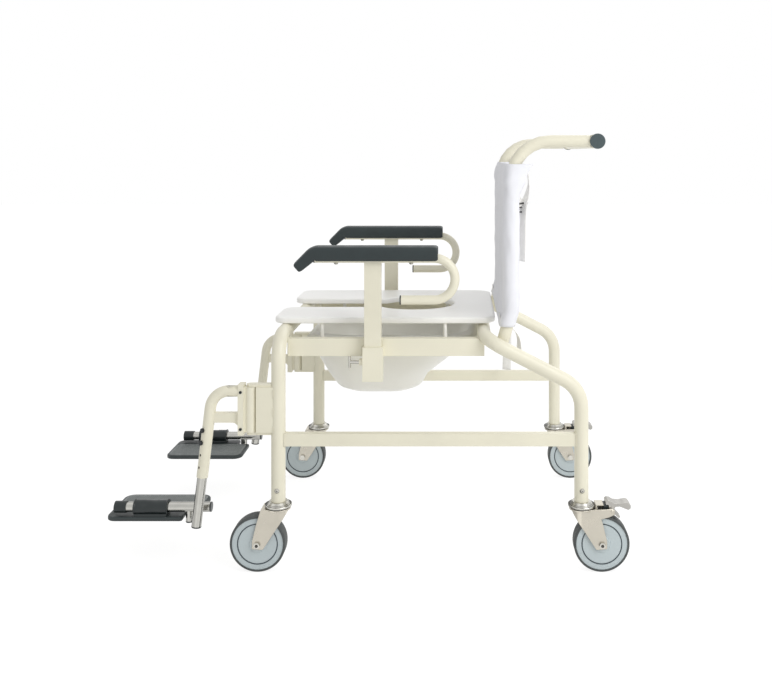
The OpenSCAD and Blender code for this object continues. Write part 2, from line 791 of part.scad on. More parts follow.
// Webbing behind the cover: a loop down from the upper hem to a buckle with its loose end,
// and a tail that hangs from the lower hem. The shares place the buckle and both ends of the
// webbing between the cover and the widest place of the loop.
buckle_share = 0.66;
end_share = 0.5;
tail_share = 0.4;
strap_x = upright_x - sleeve_d / 2 + 5 * cover_t / 4;
strap_y = upright_y - strap_in;
strap_buckle_x = strap_x + strap_out * buckle_share;
module back_straps() {
    lean_x = (upright_lean_z - cover_bottom_z) * tan(upright_lean);
    low_x = strap_x - 3 * lean_x / 4;
    end_x = strap_x + strap_out * end_share;
    tail_x = strap_x + strap_out * tail_share;
    color(white)
        for (side = [left, right])
            translate([0, side * strap_y, 0]) {
                side_prism([
                    [strap_x, cover_top_z], [strap_x + strap_out, strap_out_z + strap_t],
                    [strap_x + strap_out, strap_out_z], [strap_buckle_x, buckle_z],
                    [end_x, strap_end_z], [end_x - strap_t, strap_end_z],
                    [strap_buckle_x - strap_t, buckle_z], [strap_x + strap_out - 2 * strap_t, strap_out_z],
                    [strap_x, cover_top_z - 2 * strap_t]], strap_w);
                side_prism([
                    [low_x, cover_bottom_z + strap_w], [low_x + strap_t, cover_bottom_z + strap_w],
                    [strap_x + strap_t, cover_bottom_z - strap_w], [tail_x, tail_end_z],
                    [tail_x - strap_t, tail_end_z], [strap_x, cover_bottom_z - strap_w],
                    [low_x, cover_bottom_z]], strap_w);
            }
}

// Ladder buckles that grip the webbing, with a slot for it
module strap_buckles() {
    color([0.24, 0.24, 0.24])
        for (side = [left, right])
            difference() {
                block([strap_buckle_x, side * strap_y, buckle_z], [buckle_t, strap_w + buckle_t / 2, buckle_h]);
                block([strap_buckle_x, side * strap_y, buckle_z],
                    [buckle_t / 2, strap_w + 2 * rest_gap, buckle_h + over]);
            }
}

// Horseshoe board with the opening toward the front
seat_front = front_x - seat_ahead;
seat_z = front_cross_z + leg_r + rest_gap;
well_x = seat_front + seat_len - well_back - well_r;
module seat_board() {
    horn_turn = asin((well_r - mouth_half) / (well_x - seat_front));
    mouth = [for (side = [right, left])
        side == right
            ? arc([seat_front + horn_r, mouth_half + horn_r], horn_r, 180, 270 + horn_turn)
            : arc([seat_front + horn_r, -mouth_half - horn_r], horn_r, 90 - horn_turn, 180)];
    color(white)
        translate([0, 0, seat_z])
            linear_extrude(height = seat_t)
                polygon(concat(
                    arc([seat_front + seat_corner_r, -seat_w / 2 + seat_corner_r], seat_corner_r, 180, 270),
                    arc([seat_front + seat_len - seat_corner_r, -seat_w / 2 + seat_corner_r],
                        seat_corner_r, 270, 360),
                    arc([seat_front + seat_len - seat_corner_r, seat_w / 2 - seat_corner_r], seat_corner_r, 0, 90),
                    arc([seat_front + seat_corner_r, seat_w / 2 - seat_corner_r], seat_corner_r, 90, 180),
                    mouth[0],
                    arc([well_x, 0], well_r, 90 + horn_turn, 0), arc([well_x, 0], well_r, 0, -90 - horn_turn),
                    mouth[1]));
}

// Pegs that keep the board above the side angles
module seat_pegs() {
    color(white)
        for (x = [peg_front, peg_rear], side = [left, right])
            translate([front_x + x, side * (up_rail_face - peg_in), ledge_top_z + rest_gap])
                cylinder(h = seat_z - ledge_top_z - rest_gap, r = peg_d / 2);
}

// Moulded pan: a flat flange and a rounded bowl, steep at the front and sloping at the rear.
// Each row of shares is a level: depth, front end, rear end and half width of the bowl there.
pan_front = front_x + pan_behind;
pan_half = up_rail_face - pan_in;
pan_body_half = pan_half - pan_flange_w;
bowl_shares = [
    [0, 0.01, 0.955, 1], [0.28, 0.02, 0.89, 0.98], [0.4, 0.035, 0.846, 0.95],
    [0.72, 0.1, 0.7, 0.84], [0.93, 0.15, 0.66, 0.72], [1, 0.2, 0.605, 0.6]];
module bowl(inset) {
    flange_z = ledge_top_z + rest_gap;
    full_depth = pan_depth - pan_t;
    corner_share = 0.55;
    hull()
        for (level = bowl_shares) {
            half = pan_body_half * level[3] - inset;
            translate([0, 0, flange_z - level[0] * full_depth + (level[0] > 0 ? inset : 0)])
                linear_extrude(height = pan_t / 4)
                    polygon(round_rect(
                        [pan_front + pan_len * level[1] + inset, -half],
                        [pan_front + pan_len * level[2] - inset, half], half * corner_share));
        }
}

module commode_pan() {
    color([0.89, 0.89, 0.86])
        difference() {
            union() {
                translate([0, 0, ledge_top_z + rest_gap])
                    linear_extrude(height = pan_t)
                        polygon(round_rect([pan_front, -pan_half], [pan_front + pan_len, pan_half], horn_r));
                bowl(0);
            }
            bowl(pan_t);
            bowl_mouth();
        }
}

// The opening of the bowl through the flange
module bowl_mouth() {
    half = pan_body_half - pan_t;
    translate([0, 0, ledge_top_z])
        linear_extrude(height = pan_t + over)
            polygon(round_rect(
                [pan_front + pan_len * bowl_shares[0][1] + pan_t, -half],
                [pan_front + pan_len * bowl_shares[0][2] - pan_t, half], half / 2));
}

// Draws its children, made for the left, on the given side
module on_side(side) {
    if (side == right)
        mirror([0, 1, 0])
            children();
    else
        children();
}

// Bent arm tube with the flat post that stands in the socket
arm_r = arm_d / 2;
arm_front_x = front_x + arm_front;
arm_low_x = front_x + arm_low_front;
arm_back_x = front_x + arm_turn + arm_bend_r;
pad_screw_places = [arm_front_x + pad_screw_front, arm_front_x + pad_screw_rear];
module arm_frame(side) {
    color(cream)
        difference() {
            union() {
                bent_tube([
                    [arm_front_x, side * post_y, arm_z], [arm_back_x, side * post_y, arm_z],
                    [arm_back_x, side * post_y, arm_z - arm_drop], [arm_low_x, side * post_y, arm_z - arm_drop]],
                    [arm_bend_r, arm_bend_r], arm_r, tube_wall);
                difference() {
                    block([post_x, side * post_y, (post_foot_z + arm_z) / 2],
                        [post_l, post_w, arm_z - post_foot_z]);
                    block([post_x, side * post_y, (post_foot_z + arm_z) / 2],
                        [post_l - 2 * rail_wall, post_w - 2 * rail_wall, arm_z - post_foot_z + over]);
                    translate([post_x - post_l, side * post_y, arm_z])
                        along([1, 0, 0])
                            cylinder(h = 2 * post_l, r = arm_r - tube_wall / 2);
                }
            }
            for (x = pad_screw_places)
                translate([x, side * post_y, arm_z - arm_d])
                    cylinder(h = 2 * arm_d, r = screw_d / 2 + pin_gap);
        }
}

module arm_frame_left() { arm_frame(left); }
module arm_frame_right() { arm_frame(right); }

// Moulded pad that straddles the tube, its nose sloping down at the front
module arm_pad(side) {
    top_z = arm_z + pad_above;
    low_z = arm_z - pad_below;
    back_x = front_x + arm_turn + pad_past;
    nose = [arm_front_x - pad_nose, top_z - pad_nose * tan(pad_slope)];
    chin = nose + pad_nose_t * [sin(pad_slope), -cos(pad_slope)];
    channel_r = arm_r + weld_gap;
    color(dark)
        difference() {
            side_prism([
                [arm_front_x, top_z], nose, chin, [chin.x + (low_z - chin.y) / tan(pad_slope), low_z],
                [back_x, low_z], [back_x, top_z]], pad_w, side * post_y);
            translate([arm_front_x - plug_t - rest_gap, side * post_y, arm_z]) {
                along([1, 0, 0])
                    cylinder(h = full_len, r = channel_r);
                translate([0, -channel_r, -arm_d])
                    cube([full_len, 2 * channel_r, arm_d]);
            }
            for (x = pad_screw_places)
                translate([x, side * post_y, arm_z])
                    cylinder(h = (arm_r + pad_above) / 2 + over, r = screw_d / 2 + pin_gap);
        }
}

module arm_pad_left() { arm_pad(left); }
module arm_pad_right() { arm_pad(right); }

// A plug with a flange and a spigot, its flange ahead of the origin along -X
module plug(flange_r, spigot_r) {
    translate([-plug_t, 0, 0])
        along([1, 0, 0])
            cylinder(h = plug_t, r = flange_r);
    along([1, 0, 0])
        cylinder(h = spigot_len, r = spigot_r);
}

module arm_plugs(side) {
    color(dark) {
        translate([arm_front_x, side * post_y, arm_z])
            plug(arm_r, arm_r - tube_wall - pin_gap);
        translate([arm_low_x, side * post_y, arm_z - arm_drop])
            plug(arm_r, arm_r - tube_wall - pin_gap);
    }
}

module arm_plugs_left() { arm_plugs(left); }
module arm_plugs_right() { arm_plugs(right); }

module arm_screws(side) {
    color(steel)
        for (x = pad_screw_places)
            translate([x, side * post_y, arm_z - arm_r - weld_gap])
                along([0, 0, -1])
                    screw(arm_r + weld_gap + (arm_r + pad_above) / 2);
}

module arm_screws_left() { arm_screws(left); }
module arm_screws_right() { arm_screws(right); }

// Screw with a cross bar, through the weld nut and the front wall of the socket
module arm_lock(side) {
    socket_front = post_x - socket_l / 2;
    color(steel)
        translate([socket_front - lock_out, side * post_y, lock_z]) {
            along([1, 0, 0])
                cylinder(h = lock_out + socket_wall, r = lock_d / 2);
            translate([0, 0, -lock_bar_len / 2])
                cylinder(h = lock_bar_len, r = lock_bar_d / 2);
        }
}

module arm_lock_left() { arm_lock(left); }
module arm_lock_right() { arm_lock(right); }

// Places along the leaning tube of a hanger, measured down from its corner
lean_way = [-sin(hanger_lean), 0, -cos(hanger_lean)];
corner_x = pin_x - hanger_reach;
hanger_r = hanger_d / 2;
extension_r = hanger_r - hanger_wall - slide_gap;
function lean_place(drop) = [corner_x, -side_y, hanger_z] + drop * lean_way;
function lean_x(z) = corner_x - (hanger_z - z) * tan(hanger_lean);

// Draws its children at a drop along the leaning tube, X pointing out of the bolt side
module at_drop(drop) {
    translate(lean_place(drop))
        rotate([0, hanger_lean, 0])
            rotate([0, 0, 180 + 90 - bolt_turn])
                children();
}

// Hinge barrel and post, bent tube and brace of a footrest hanger
module hanger(side) {
    barrel_z = bracket_z + ear_t + ear_gap;
    barrel_h = bracket_h - 2 * ear_t - 2 * ear_gap;
    brace_end = lean_x(brace_z);
    brace_front = pin_x - post_far;
    color(cream)
        on_side(side)
            difference() {
                union() {
                    translate([pin_x, -side_y, barrel_z])
                        cylinder(h = barrel_h, r = bracket_w / 2);
                    translate([pin_x - post_near, -side_y - ear_w / 2, barrel_z])
                        cube([post_near, ear_w, barrel_h]);
                    translate([pin_x - post_far, -side_y - bracket_w / 2, bracket_z])
                        cube([post_far - post_near, bracket_w, bracket_h]);
                    bent_tube([
                        [pin_x - post_far, -side_y, hanger_z], lean_place(0), lean_place(hanger_drop)],
                        [hanger_bend_r], hanger_r, hanger_wall);
                    difference() {
                        union() {
                            block([(brace_end + brace_front) / 2, -side_y, brace_z],
                                [brace_front - brace_end, brace_t, brace_h]);
                            block([brace_front - gusset_r / 2, -side_y, brace_z - (brace_h + gusset_r) / 2],
                                [gusset_r, brace_t, gusset_r]);
                        }
                        cross_bar(brace_front - gusset_r, -side_y, brace_z - brace_h / 2 - gusset_r,
                            2 * brace_t, gusset_r);
                        translate(lean_place(0))
                            along(lean_way)
                                cylinder(h = hanger_drop, r = hanger_r - hanger_wall / 2);
                    }
                }
                translate([pin_x, -side_y, bracket_z - over])
                    cylinder(h = bracket_h + 2 * over, r = pin_d / 2 + pin_gap);
                for (i = [0 : 3])
                    at_drop(bolt_drop + i * hole_pitch)
                        along([1, 0, 0])
                            cylinder(h = hanger_d, r = bolt_d / 2 + pin_gap);
            }
}

module hanger_left() { hanger(left); }
module hanger_right() { hanger(right); }

// Two height bolts in the leaning tube and two bolts in the side of the hinge post
module hanger_bolts(side) {
    head_r = bolt_flats / 2 / cos(30);
    tip = extension_r + rest_gap;
    color(dark)
        on_side(side) {
            for (i = [0, 1])
                at_drop(bolt_drop + i * hole_pitch) {
                    translate([tip, 0, 0])
                        along([1, 0, 0])
                            cylinder(h = hanger_r + weld_gap - tip, r = bolt_d / 2);
                    translate([hanger_r + weld_gap, 0, 0])
                        along([1, 0, 0])
                            cylinder(h = bolt_head_h, r = head_r, $fn = 6);
                }
            for (z = [bracket_z + gusset_r, hanger_z])
                translate([pin_x - (post_near + post_far) / 2, -side_y - bracket_w / 2, z])
                    along([0, -1, 0])
                        cylinder(h = bolt_head_h / 2, r = screw_d / 2 + weld_gap);
        }
}

module hanger_bolts_left() { hanger_bolts(left); }
module hanger_bolts_right() { hanger_bolts(right); }

// Sliding tube in the hanger, with the foot tube across its lower end and the stop below that
foot_y = side_y - foot_inset;
foot_r = foot_d / 2;
foot_front_x = front_x - foot_front + foot_cap_wall;
foot_rear_x = front_x - foot_rear;
stop_x = front_x - stop_ahead;
module extension(side) {
    weld_in = 2 * extension_wall;
    stop_top = foot_z - stop_d / 4;
    color(steel)
        on_side(side)
            difference() {
                union() {
                    translate(lean_place(extension_top))
                        along(lean_way)
                            pipe(extension_end - extension_top, extension_r, extension_wall);
                    translate([foot_front_x, -foot_y, foot_z])
                        along([1, 0, 0])
                            pipe(foot_rear_x - foot_front_x, foot_r, extension_wall);
                    cross_bar(lean_x(foot_z), -(foot_y + foot_r + side_y - extension_r) / 2, foot_z,
                        side_y - foot_y - foot_r - extension_r + 2 * weld_in, stop_d / 2 - extension_wall);
                    translate([stop_x, -foot_y, foot_z - stop_drop])
                        pipe(stop_top - foot_z + stop_drop, stop_d / 2, extension_wall);
                }
                for (i = [0 : 3])
                    at_drop(bolt_drop + i * hole_pitch)
                        along([1, 0, 0])
                            cylinder(h = hanger_d, r = bolt_d / 2 + pin_gap);
            }
}

module extension_left() { extension(left); }
module extension_right() { extension(right); }

// Rubber cap at the front of the foot tube, and plugs in its rear end, the stop and the extension
module foot_caps(side) {
    color(dark)
        on_side(side) {
            translate([foot_front_x - foot_cap_wall, -foot_y, foot_z])
                along([1, 0, 0])
                    difference() {
                        cylinder(h = foot_cap_len, r = foot_r + foot_cap_wall);
                        translate([0, 0, foot_cap_wall])
                            cylinder(h = foot_cap_len, r = foot_r + pin_gap);
                    }
            translate([foot_rear_x, -foot_y, foot_z])
                rotate([0, 0, 180])
                    short_plug(foot_r);
            translate([stop_x, -foot_y, foot_z - stop_drop])
                rotate([0, -90, 0])
                    short_plug(stop_d / 2);
            translate(lean_place(extension_end))
                rotate([0, hanger_lean, 0])
                    rotate([0, -90, 0])
                        short_plug(extension_r);
        }
}

// A plug with a short spigot, for the ends of the extension, the stop and the foot tube
module short_plug(flange_r) {
    translate([-plug_t, 0, 0])
        along([1, 0, 0])
            cylinder(h = plug_t, r = flange_r);
    along([1, 0, 0])
        cylinder(h = 2 * plug_t, r = flange_r - extension_wall - pin_gap);
}

module foot_caps_left() { foot_caps(left); }
module foot_caps_right() { foot_caps(right); }

// Moulded plate with the clamp that turns on the foot tube
plate_front = front_x - front_reach;
module footplate(side) {
    clamp_x = plate_front + clamp_back;
    plate_low = plate_top_z - plate_t;
    skirt = 2 * clamp_r - clamp_rim;
    tread_y = clamp_r + clamp_rim + tread_in;
    tread_r = min(plate_corner_r - tread_in / 2, (plate_in - tread_y - tread_in) / 2);
    color([0.45, 0.46, 0.46])
        on_side(side)
            difference() {
                union() {
                    translate([0, 0, plate_low])
                        linear_extrude(height = plate_t - tread_t)
                            polygon(round_rect(
                                [plate_front, -foot_y - plate_out], [plate_front + plate_len, -foot_y + plate_in],
                                min(plate_corner_r, (plate_in + plate_out) / 2)));
                    translate([0, 0, plate_low])
                        linear_extrude(height = plate_t)
                            polygon(round_rect(
                                [plate_front + tread_in, -foot_y + tread_y],
                                [plate_front + plate_len - tread_in, -foot_y + plate_in - tread_in], tread_r));
                    translate([clamp_x, -foot_y - skirt / 2, plate_low])
                        cube([clamp_len, skirt, foot_z - plate_low]);
                    translate([clamp_x, -foot_y, foot_z])
                        along([1, 0, 0])
                            cylinder(h = clamp_len, r = clamp_r);
                    for (x = [clamp_x - clamp_rim, clamp_x + clamp_len - clamp_rim])
                        translate([x, -foot_y, foot_z])
                            along([1, 0, 0])
                                cylinder(h = 2 * clamp_rim, r = clamp_r + clamp_rim);
                }
                translate([clamp_x - 2 * clamp_rim, -foot_y, foot_z])
                    along([1, 0, 0])
                        cylinder(h = clamp_len + 4 * clamp_rim, r = foot_r + pin_gap);
                translate([plate_front + plate_len - notch_len, -foot_y - plate_out - over, plate_low - over])
                    cube([notch_len + over, plate_out + notch_half + over, plate_t + 2 * over]);
            }
}

module footplate_left() { footplate(left); }
module footplate_right() { footplate(right); }

// Draws its children, made for a caster that trails toward +X, at one of the four legs
module at_caster(x, side) {
    translate([x, side * side_y, 0])
        rotate([0, 0, x < 0 ? 180 : 0])
            children();
}

// Bent fork sheet: two cheeks joined round the front, under a round top plate.
// Rows of shares are places behind the swivel axis, of the trail, and heights, of the top.
wheel_r = wheel_d / 2;
fork_top = fork_top_z + fork_top_t;
fork_outer = fork_inner + fork_t;
cheek_shares = [
    [1.245, 0.381], [0.705, 0.370], [0.416, 0.504], [0.09, 0.662], [-0.234, 0.808], [-0.625, 1],
    [0.811, 1], [1.045, 0.761], [1.245, 0.504]];
module fork(rear) {
    cheek_points = [for (p = cheek_shares) [p.x * trail, p.y * fork_top]];
    plate_back = cheek_shares[6].x * trail;
    color(steel)
        difference() {
            union() {
                intersection() {
                    side_prism(cheek_points, 4 * fork_outer);
                    union() {
                        rotate([0, 0, 90])
                            rotate_extrude(angle = 180)
                                translate([fork_inner, 0])
                                    square([fork_t, fork_top]);
                        for (side = [left, right])
                            block([trail, side * (fork_inner + fork_t / 2), fork_top / 2],
                                [2 * trail, fork_t, fork_top]);
                    }
                }
                translate([0, 0, fork_top_z]) {
                    cylinder(h = fork_top_t, r = (head_d - fork_t) / 2);
                    translate([0, -fork_outer, 0])
                        cube([plate_back, 2 * fork_outer, fork_top_t]);
                }
                if (rear)
                    brake_mount();
            }
            translate([0, 0, fork_top_z - over])
                cylinder(h = fork_top_t + 2 * over, r = kingpin_d / 2 + pin_gap);
            cross_bar(trail, 0, wheel_r, 4 * fork_outer, axle_d / 2 + pin_gap);
        }
}

// Raised tongue, ears and pivot pin that carry the brake of a rear caster
module brake_mount() {
    riser_x = (head_d / 2) + 2 * head_gap;
    drop = pivot_d + pedal_barrel_r;
    translate([riser_x, -tongue_w / 2, fork_top_z])
        cube([fork_t, tongue_w, tongue_top_z - fork_top_z]);
    translate([riser_x, -tongue_w / 2, tongue_top_z - fork_t])
        cube([tongue_x - riser_x, tongue_w, fork_t]);
    for (side = [left, right])
        side_prism([
            [riser_x, fork_top], [riser_x, fork_top - 2 * drop], [pivot_x - pivot_d, pivot_z - drop],
            [pivot_x + pivot_d, pivot_z - pivot_d], [pivot_x + pivot_d, pivot_z + pivot_d / 2],
            [pivot_x, pivot_z + pivot_d]],
            fork_t, side * (fork_inner + fork_t / 2));
    cross_bar(pivot_x, 0, pivot_z, 2 * fork_outer + fork_t, pivot_d / 2);
}

module fork_front_left() { at_caster(front_x, left) fork(false); }
module fork_front_right() { at_caster(front_x, right) fork(false); }
module fork_rear_left() { at_caster(rear_x, left) fork(true); }
module fork_rear_right() { at_caster(rear_x, right) fork(true); }

// Axle bolt with a hexagon head and nut outside the cheeks
module axle() {
    color(steel) {
        cross_bar(trail, 0, wheel_r, 2 * fork_outer, axle_d / 2);
        for (side = [left, right])
            translate([trail, side * (fork_outer + axle_head_h / 2), wheel_r])
                rotate([90, 0, 0])
                    cylinder(h = axle_head_h, r = axle_flats / 2 / cos(30), center = true, $fn = 6);
    }
}

module axle_front_left() { at_caster(front_x, left) axle(); }
module axle_front_right() { at_caster(front_x, right) axle(); }
module axle_rear_left() { at_caster(rear_x, left) axle(); }
module axle_rear_right() { at_caster(rear_x, right) axle(); }

// Moulded wheel with a raised hub and a groove ring in each face
module wheel() {
    rim_r = wheel_r - tyre_t - slide_gap;
    face = wheel_w / 2 - groove_w;
    hub_half = fork_inner - head_gap;
    half_profile = [
        [axle_d / 2 + pin_gap, hub_half], [hub_d / 2, hub_half], [hub_d / 2 + groove_w, face],
        [groove_r - groove_w / 2, face], [groove_r - groove_w / 2, face - groove_w],
        [groove_r + groove_w / 2, face - groove_w], [groove_r + groove_w / 2, face], [rim_r, face]];
    last = len(half_profile) - 1;
    color(wheel_grey)
        translate([trail, 0, wheel_r])
            rotate([90, 0, 0])
                rotate_extrude()
                    polygon(concat(half_profile,
                        [for (i = [0 : last]) [half_profile[last - i].x, -half_profile[last - i].y]]));
}

module wheel_front_left() { at_caster(front_x, left) wheel(); }
module wheel_front_right() { at_caster(front_x, right) wheel(); }
module wheel_rear_left() { at_caster(rear_x, left) wheel(); }
module wheel_rear_right() { at_caster(rear_x, right) wheel(); }

// Rubber tyre with round shoulders
module tyre() {
    half = wheel_w / 2;
    color([0.28, 0.30, 0.30])
        translate([trail, 0, wheel_r])
            rotate([90, 0, 0])
                rotate_extrude()
                    polygon(concat([[wheel_r - tyre_t, -half]],
                        arc([wheel_r - shoulder_r, shoulder_r - half], shoulder_r, 270, 360),
                        arc([wheel_r - shoulder_r, half - shoulder_r], shoulder_r, 0, 90),
                        [[wheel_r - tyre_t, half]]));
}

module tyre_front_left() { at_caster(front_x, left) tyre(); }
module tyre_front_right() { at_caster(front_x, right) tyre(); }
module tyre_rear_left() { at_caster(rear_x, left) tyre(); }
module tyre_rear_right() { at_caster(rear_x, right) tyre(); }

// Rubber block at the end of the tongue
module brake_block(side) {
    color(dark)
        at_caster(rear_x, side)
            translate([tongue_x, -tongue_w / 2, fork_top_z - fork_t / 2])
                cube([block_len, tongue_w, tongue_top_z - fork_top_z]);
}

module brake_block_left() { brake_block(left); }
module brake_block_right() { brake_block(right); }

// Pressed pedal: a barrel on the pivot pin, an arched plate with a stand-up tab ahead of it and a
// turned-down tip, and the shoe that swings down to the tyre.
// Rows of shares are places from the pivot, of the reach from the pivot to the tip.
pedal_shares = [
    [-0.302, 0.302], [-0.302, 0.45], [-0.2, 0.52], [-0.06, 0.5], [0.12, 0.39], [0.4, 0.36],
    [0.58, 0.39], [0.74, 0.43], [0.9, 0.39], [1, 0.26], [0.99, 0.12], [0.88, 0.04], [0.72, 0.1],
    [0.42, 0.22], [0.21, 0.2], [0.116, 0.07], [-0.116, 0.07], [-0.163, 0.302]];
shoe_shares = [[0.047, -0.093], [0.186, -0.047], [0.465, -0.349], [0.395, -0.419], [0.256, -0.302]];
module brake_pedal(side) {
    reach = rear_reach - pivot_x;
    pivot = [pivot_x, pivot_z];
    color(steel)
        at_caster(rear_x, side)
            difference() {
                union() {
                    side_prism([for (p = pedal_shares) pivot + reach * p], pedal_w);
                    side_prism([for (p = shoe_shares) pivot + reach * p], pedal_w - 2 * fork_t);
                    cross_bar(pivot_x, 0, pivot_z, 2 * fork_inner - 2 * head_gap, pedal_barrel_r);
                }
                cross_bar(pivot_x, 0, pivot_z, 4 * fork_outer, pivot_d / 2 + pin_gap);
            }
}

module brake_pedal_left() { brake_pedal(left); }
module brake_pedal_right() { brake_pedal(right); }

front_leg_frame();
rear_leg_frame();
lower_rails();
upper_rail_left();
upper_rail_right();
back_upright_left();
back_upright_right();
push_bar();
push_bar_caps();
arm_sockets();
footrest_bracket_left();
footrest_bracket_right();
caster_heads();
leg_screws();
back_cover();
back_straps();
strap_buckles();
seat_board();
seat_pegs();
commode_pan();
arm_frame_left();
arm_frame_right();
arm_pad_left();
arm_pad_right();
arm_plugs_left();
arm_plugs_right();
arm_screws_left();
arm_screws_right();
arm_lock_left();
arm_lock_right();
hanger_left();
hanger_right();
hanger_bolts_left();
hanger_bolts_right();
extension_left();
extension_right();
foot_caps_left();
foot_caps_right();
footplate_left();
footplate_right();
fork_front_left();
fork_front_right();
fork_rear_left();
fork_rear_right();
axle_front_left();
axle_front_right();
axle_rear_left();
axle_rear_right();
wheel_front_left();
wheel_front_right();
wheel_rear_left();
wheel_rear_right();
tyre_front_left();
tyre_front_right();
tyre_rear_left();
tyre_rear_right();
brake_block_left();
brake_block_right();
brake_pedal_left();
brake_pedal_right();
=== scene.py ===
import json
import math

import bmesh
import bpy
from mathutils import Matrix, Vector, noise


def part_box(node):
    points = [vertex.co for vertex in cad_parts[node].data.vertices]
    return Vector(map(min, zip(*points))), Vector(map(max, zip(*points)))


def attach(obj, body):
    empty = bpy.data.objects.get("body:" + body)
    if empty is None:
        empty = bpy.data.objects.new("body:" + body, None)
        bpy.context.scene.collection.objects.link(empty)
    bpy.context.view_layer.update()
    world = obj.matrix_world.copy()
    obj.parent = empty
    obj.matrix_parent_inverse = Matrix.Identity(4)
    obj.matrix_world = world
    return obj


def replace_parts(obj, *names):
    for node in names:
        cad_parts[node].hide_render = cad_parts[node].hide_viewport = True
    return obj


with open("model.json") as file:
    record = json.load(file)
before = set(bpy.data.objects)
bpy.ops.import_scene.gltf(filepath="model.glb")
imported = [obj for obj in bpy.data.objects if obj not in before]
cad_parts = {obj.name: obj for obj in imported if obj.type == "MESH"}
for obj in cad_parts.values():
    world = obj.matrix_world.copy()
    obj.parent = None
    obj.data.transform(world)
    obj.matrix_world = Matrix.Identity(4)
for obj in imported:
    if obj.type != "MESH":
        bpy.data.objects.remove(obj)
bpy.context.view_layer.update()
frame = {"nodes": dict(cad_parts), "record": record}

bl_info = {
    "name": "Mobile shower chair",
    "version": (1, 0, 0),
    "blender": (4, 5, 0),
    "location": "View3D > Sidebar > Shower Chair",
    "description": "Dresses the shower chair: coat, cloth, pads, seat, pan, plates, wheels and studio",
    "category": "Object",
}

NEAR = -1
FAR = 1
SIDES = (("left", NEAR), ("right", FAR))

# Sizes in metres that the pieces share with the frame
FRONT_X = -0.198
REAR_X = 0.486
SIDE_Y = 0.290
LEG_R = 0.016
RAIL_Z = 0.2935
RAIL_WIDE = 0.018
RAIL_HIGH = 0.028
UPRIGHT_X = 0.330
UPRIGHT_Y = 0.2595
UPRIGHT_R = 0.0143
LEAN_Z = 0.577
LEAN_TAN = math.tan(math.radians(16))
BAR_X = UPRIGHT_X + 0.195
BAR_Z = 0.966
TOP_BEND = 0.088
ARM_Y = 0.2748
ARM_Z = 0.700
PAD_FRONT_X = FRONT_X + 0.080
PAD_BACK_X = FRONT_X + 0.360
PAD_SLOPE = math.radians(42)
FOOT_Y = 0.258
FOOT_Z = 0.128
PLATE_FRONT = -0.595
PLATE_LONG = 0.207
PLATE_TOP = 0.1115
PLATE_DEEP = 0.010
CASTERS = tuple(
    ("%s_%s" % (end, name), x, side)
    for end, x in (("front", FRONT_X), ("rear", REAR_X)) for name, side in SIDES)


def metres(name, about, default, smallest=0.0, largest=1.0):
    return bpy.props.FloatProperty(
        name=name, description=about, default=default, min=smallest, max=largest,
        precision=4, subtype="DISTANCE", unit="LENGTH")


def watts(name, about, default):
    return bpy.props.FloatProperty(
        name=name, description=about, default=default, min=0.0, max=500.0, unit="POWER")


def colour(name, about, default):
    return bpy.props.FloatVectorProperty(
        name=name, description=about, default=default, size=3, min=0.0, max=1.0, subtype="COLOR")


def written(red, green, blue):
    """A colour as it is written on screen, as the linear values that a shader takes."""
    def linear(value):
        value /= 255
        return value / 12.92 if value <= 0.04045 else ((value + 0.055) / 1.055) ** 2.4
    return tuple(linear(value) for value in (red, green, blue))


class ChairColours(bpy.types.PropertyGroup):
    frame_coat: colour("Frame coat", "Cream coat of the frame, arms and hangers", written(235, 231, 211))
    cloth: colour("Cloth", "Back cover", written(240, 241, 247))
    webbing: colour("Webbing", "Straps behind the cover", written(246, 245, 242))
    seat: colour("Seat", "Seat board", written(255, 254, 251))
    pan: colour("Pan", "Commode pan", written(247, 246, 239))
    pad: colour("Pad", "Arm pads", written(33, 44, 46))
    cap: colour("Cap", "Caps, plugs and clamps", written(30, 38, 39))
    bar_cap: colour("Bar cap", "Caps of the push bar", written(68, 82, 85))
    plate: colour("Plate", "Border and underside of the footplates", written(46, 54, 55))
    tread: colour("Tread", "Tread field of the footplates", written(126, 131, 131))
    wheel: colour("Wheel", "Wheel discs", written(190, 201, 204))
    tyre: colour("Tyre", "Rubber tyres", written(74, 78, 78))


class CoverSizes(bpy.types.PropertyGroup):
    top_z: metres("Top", "Height of the upper hem", 0.914, 0.85, 0.93)
    bottom_z: metres("Bottom", "Height of the lower hem", 0.543, 0.5, 0.6)
    sleeve_radius: metres("Sleeve radius", "Radius of the cloth round an upright", 0.0164, 0.015, 0.025)
    flare: metres("Flare", "Reach of the sleeve's loose upper end behind the upright", 0.0415, 0.02, 0.05)
    cloth: metres("Cloth", "Thickness of the two layers of cloth", 0.0020, 0.0005, 0.004)
    hem: metres("Hem", "Width of the turned hem", 0.022, 0.01, 0.04)
    stitch: metres("Stitch", "Pitch of the stitches", 0.0042, 0.002, 0.01)


class StrapSizes(bpy.types.PropertyGroup):
    width: metres("Width", "Width of the webbing", 0.025, 0.01, 0.04)
    thickness: metres("Thickness", "Thickness of the webbing", 0.0018, 0.0005, 0.003)
    buckle_wire: metres("Buckle bar", "Thickness of a buckle's bars", 0.0042, 0.002, 0.008)


class PadSizes(bpy.types.PropertyGroup):
    width: metres("Width", "Width of an arm pad", 0.052, 0.04, 0.07)
    above: metres("Above", "Height of the pad's top above the tube's axis", 0.0283, 0.02, 0.04)
    below: metres("Below", "Depth of the pad's skirt below the tube's axis", 0.005, 0.0, 0.02)
    crown: metres("Crown", "Rise of the pad's middle above its edges", 0.0014, 0.0, 0.006)


class SeatSizes(bpy.types.PropertyGroup):
    edge: metres("Edge", "Radius of the seat board's upper edge", 0.0045, 0.001, 0.01)


class PanSizes(bpy.types.PropertyGroup):
    wall: metres("Wall", "Wall of the pan", 0.004, 0.002, 0.006)


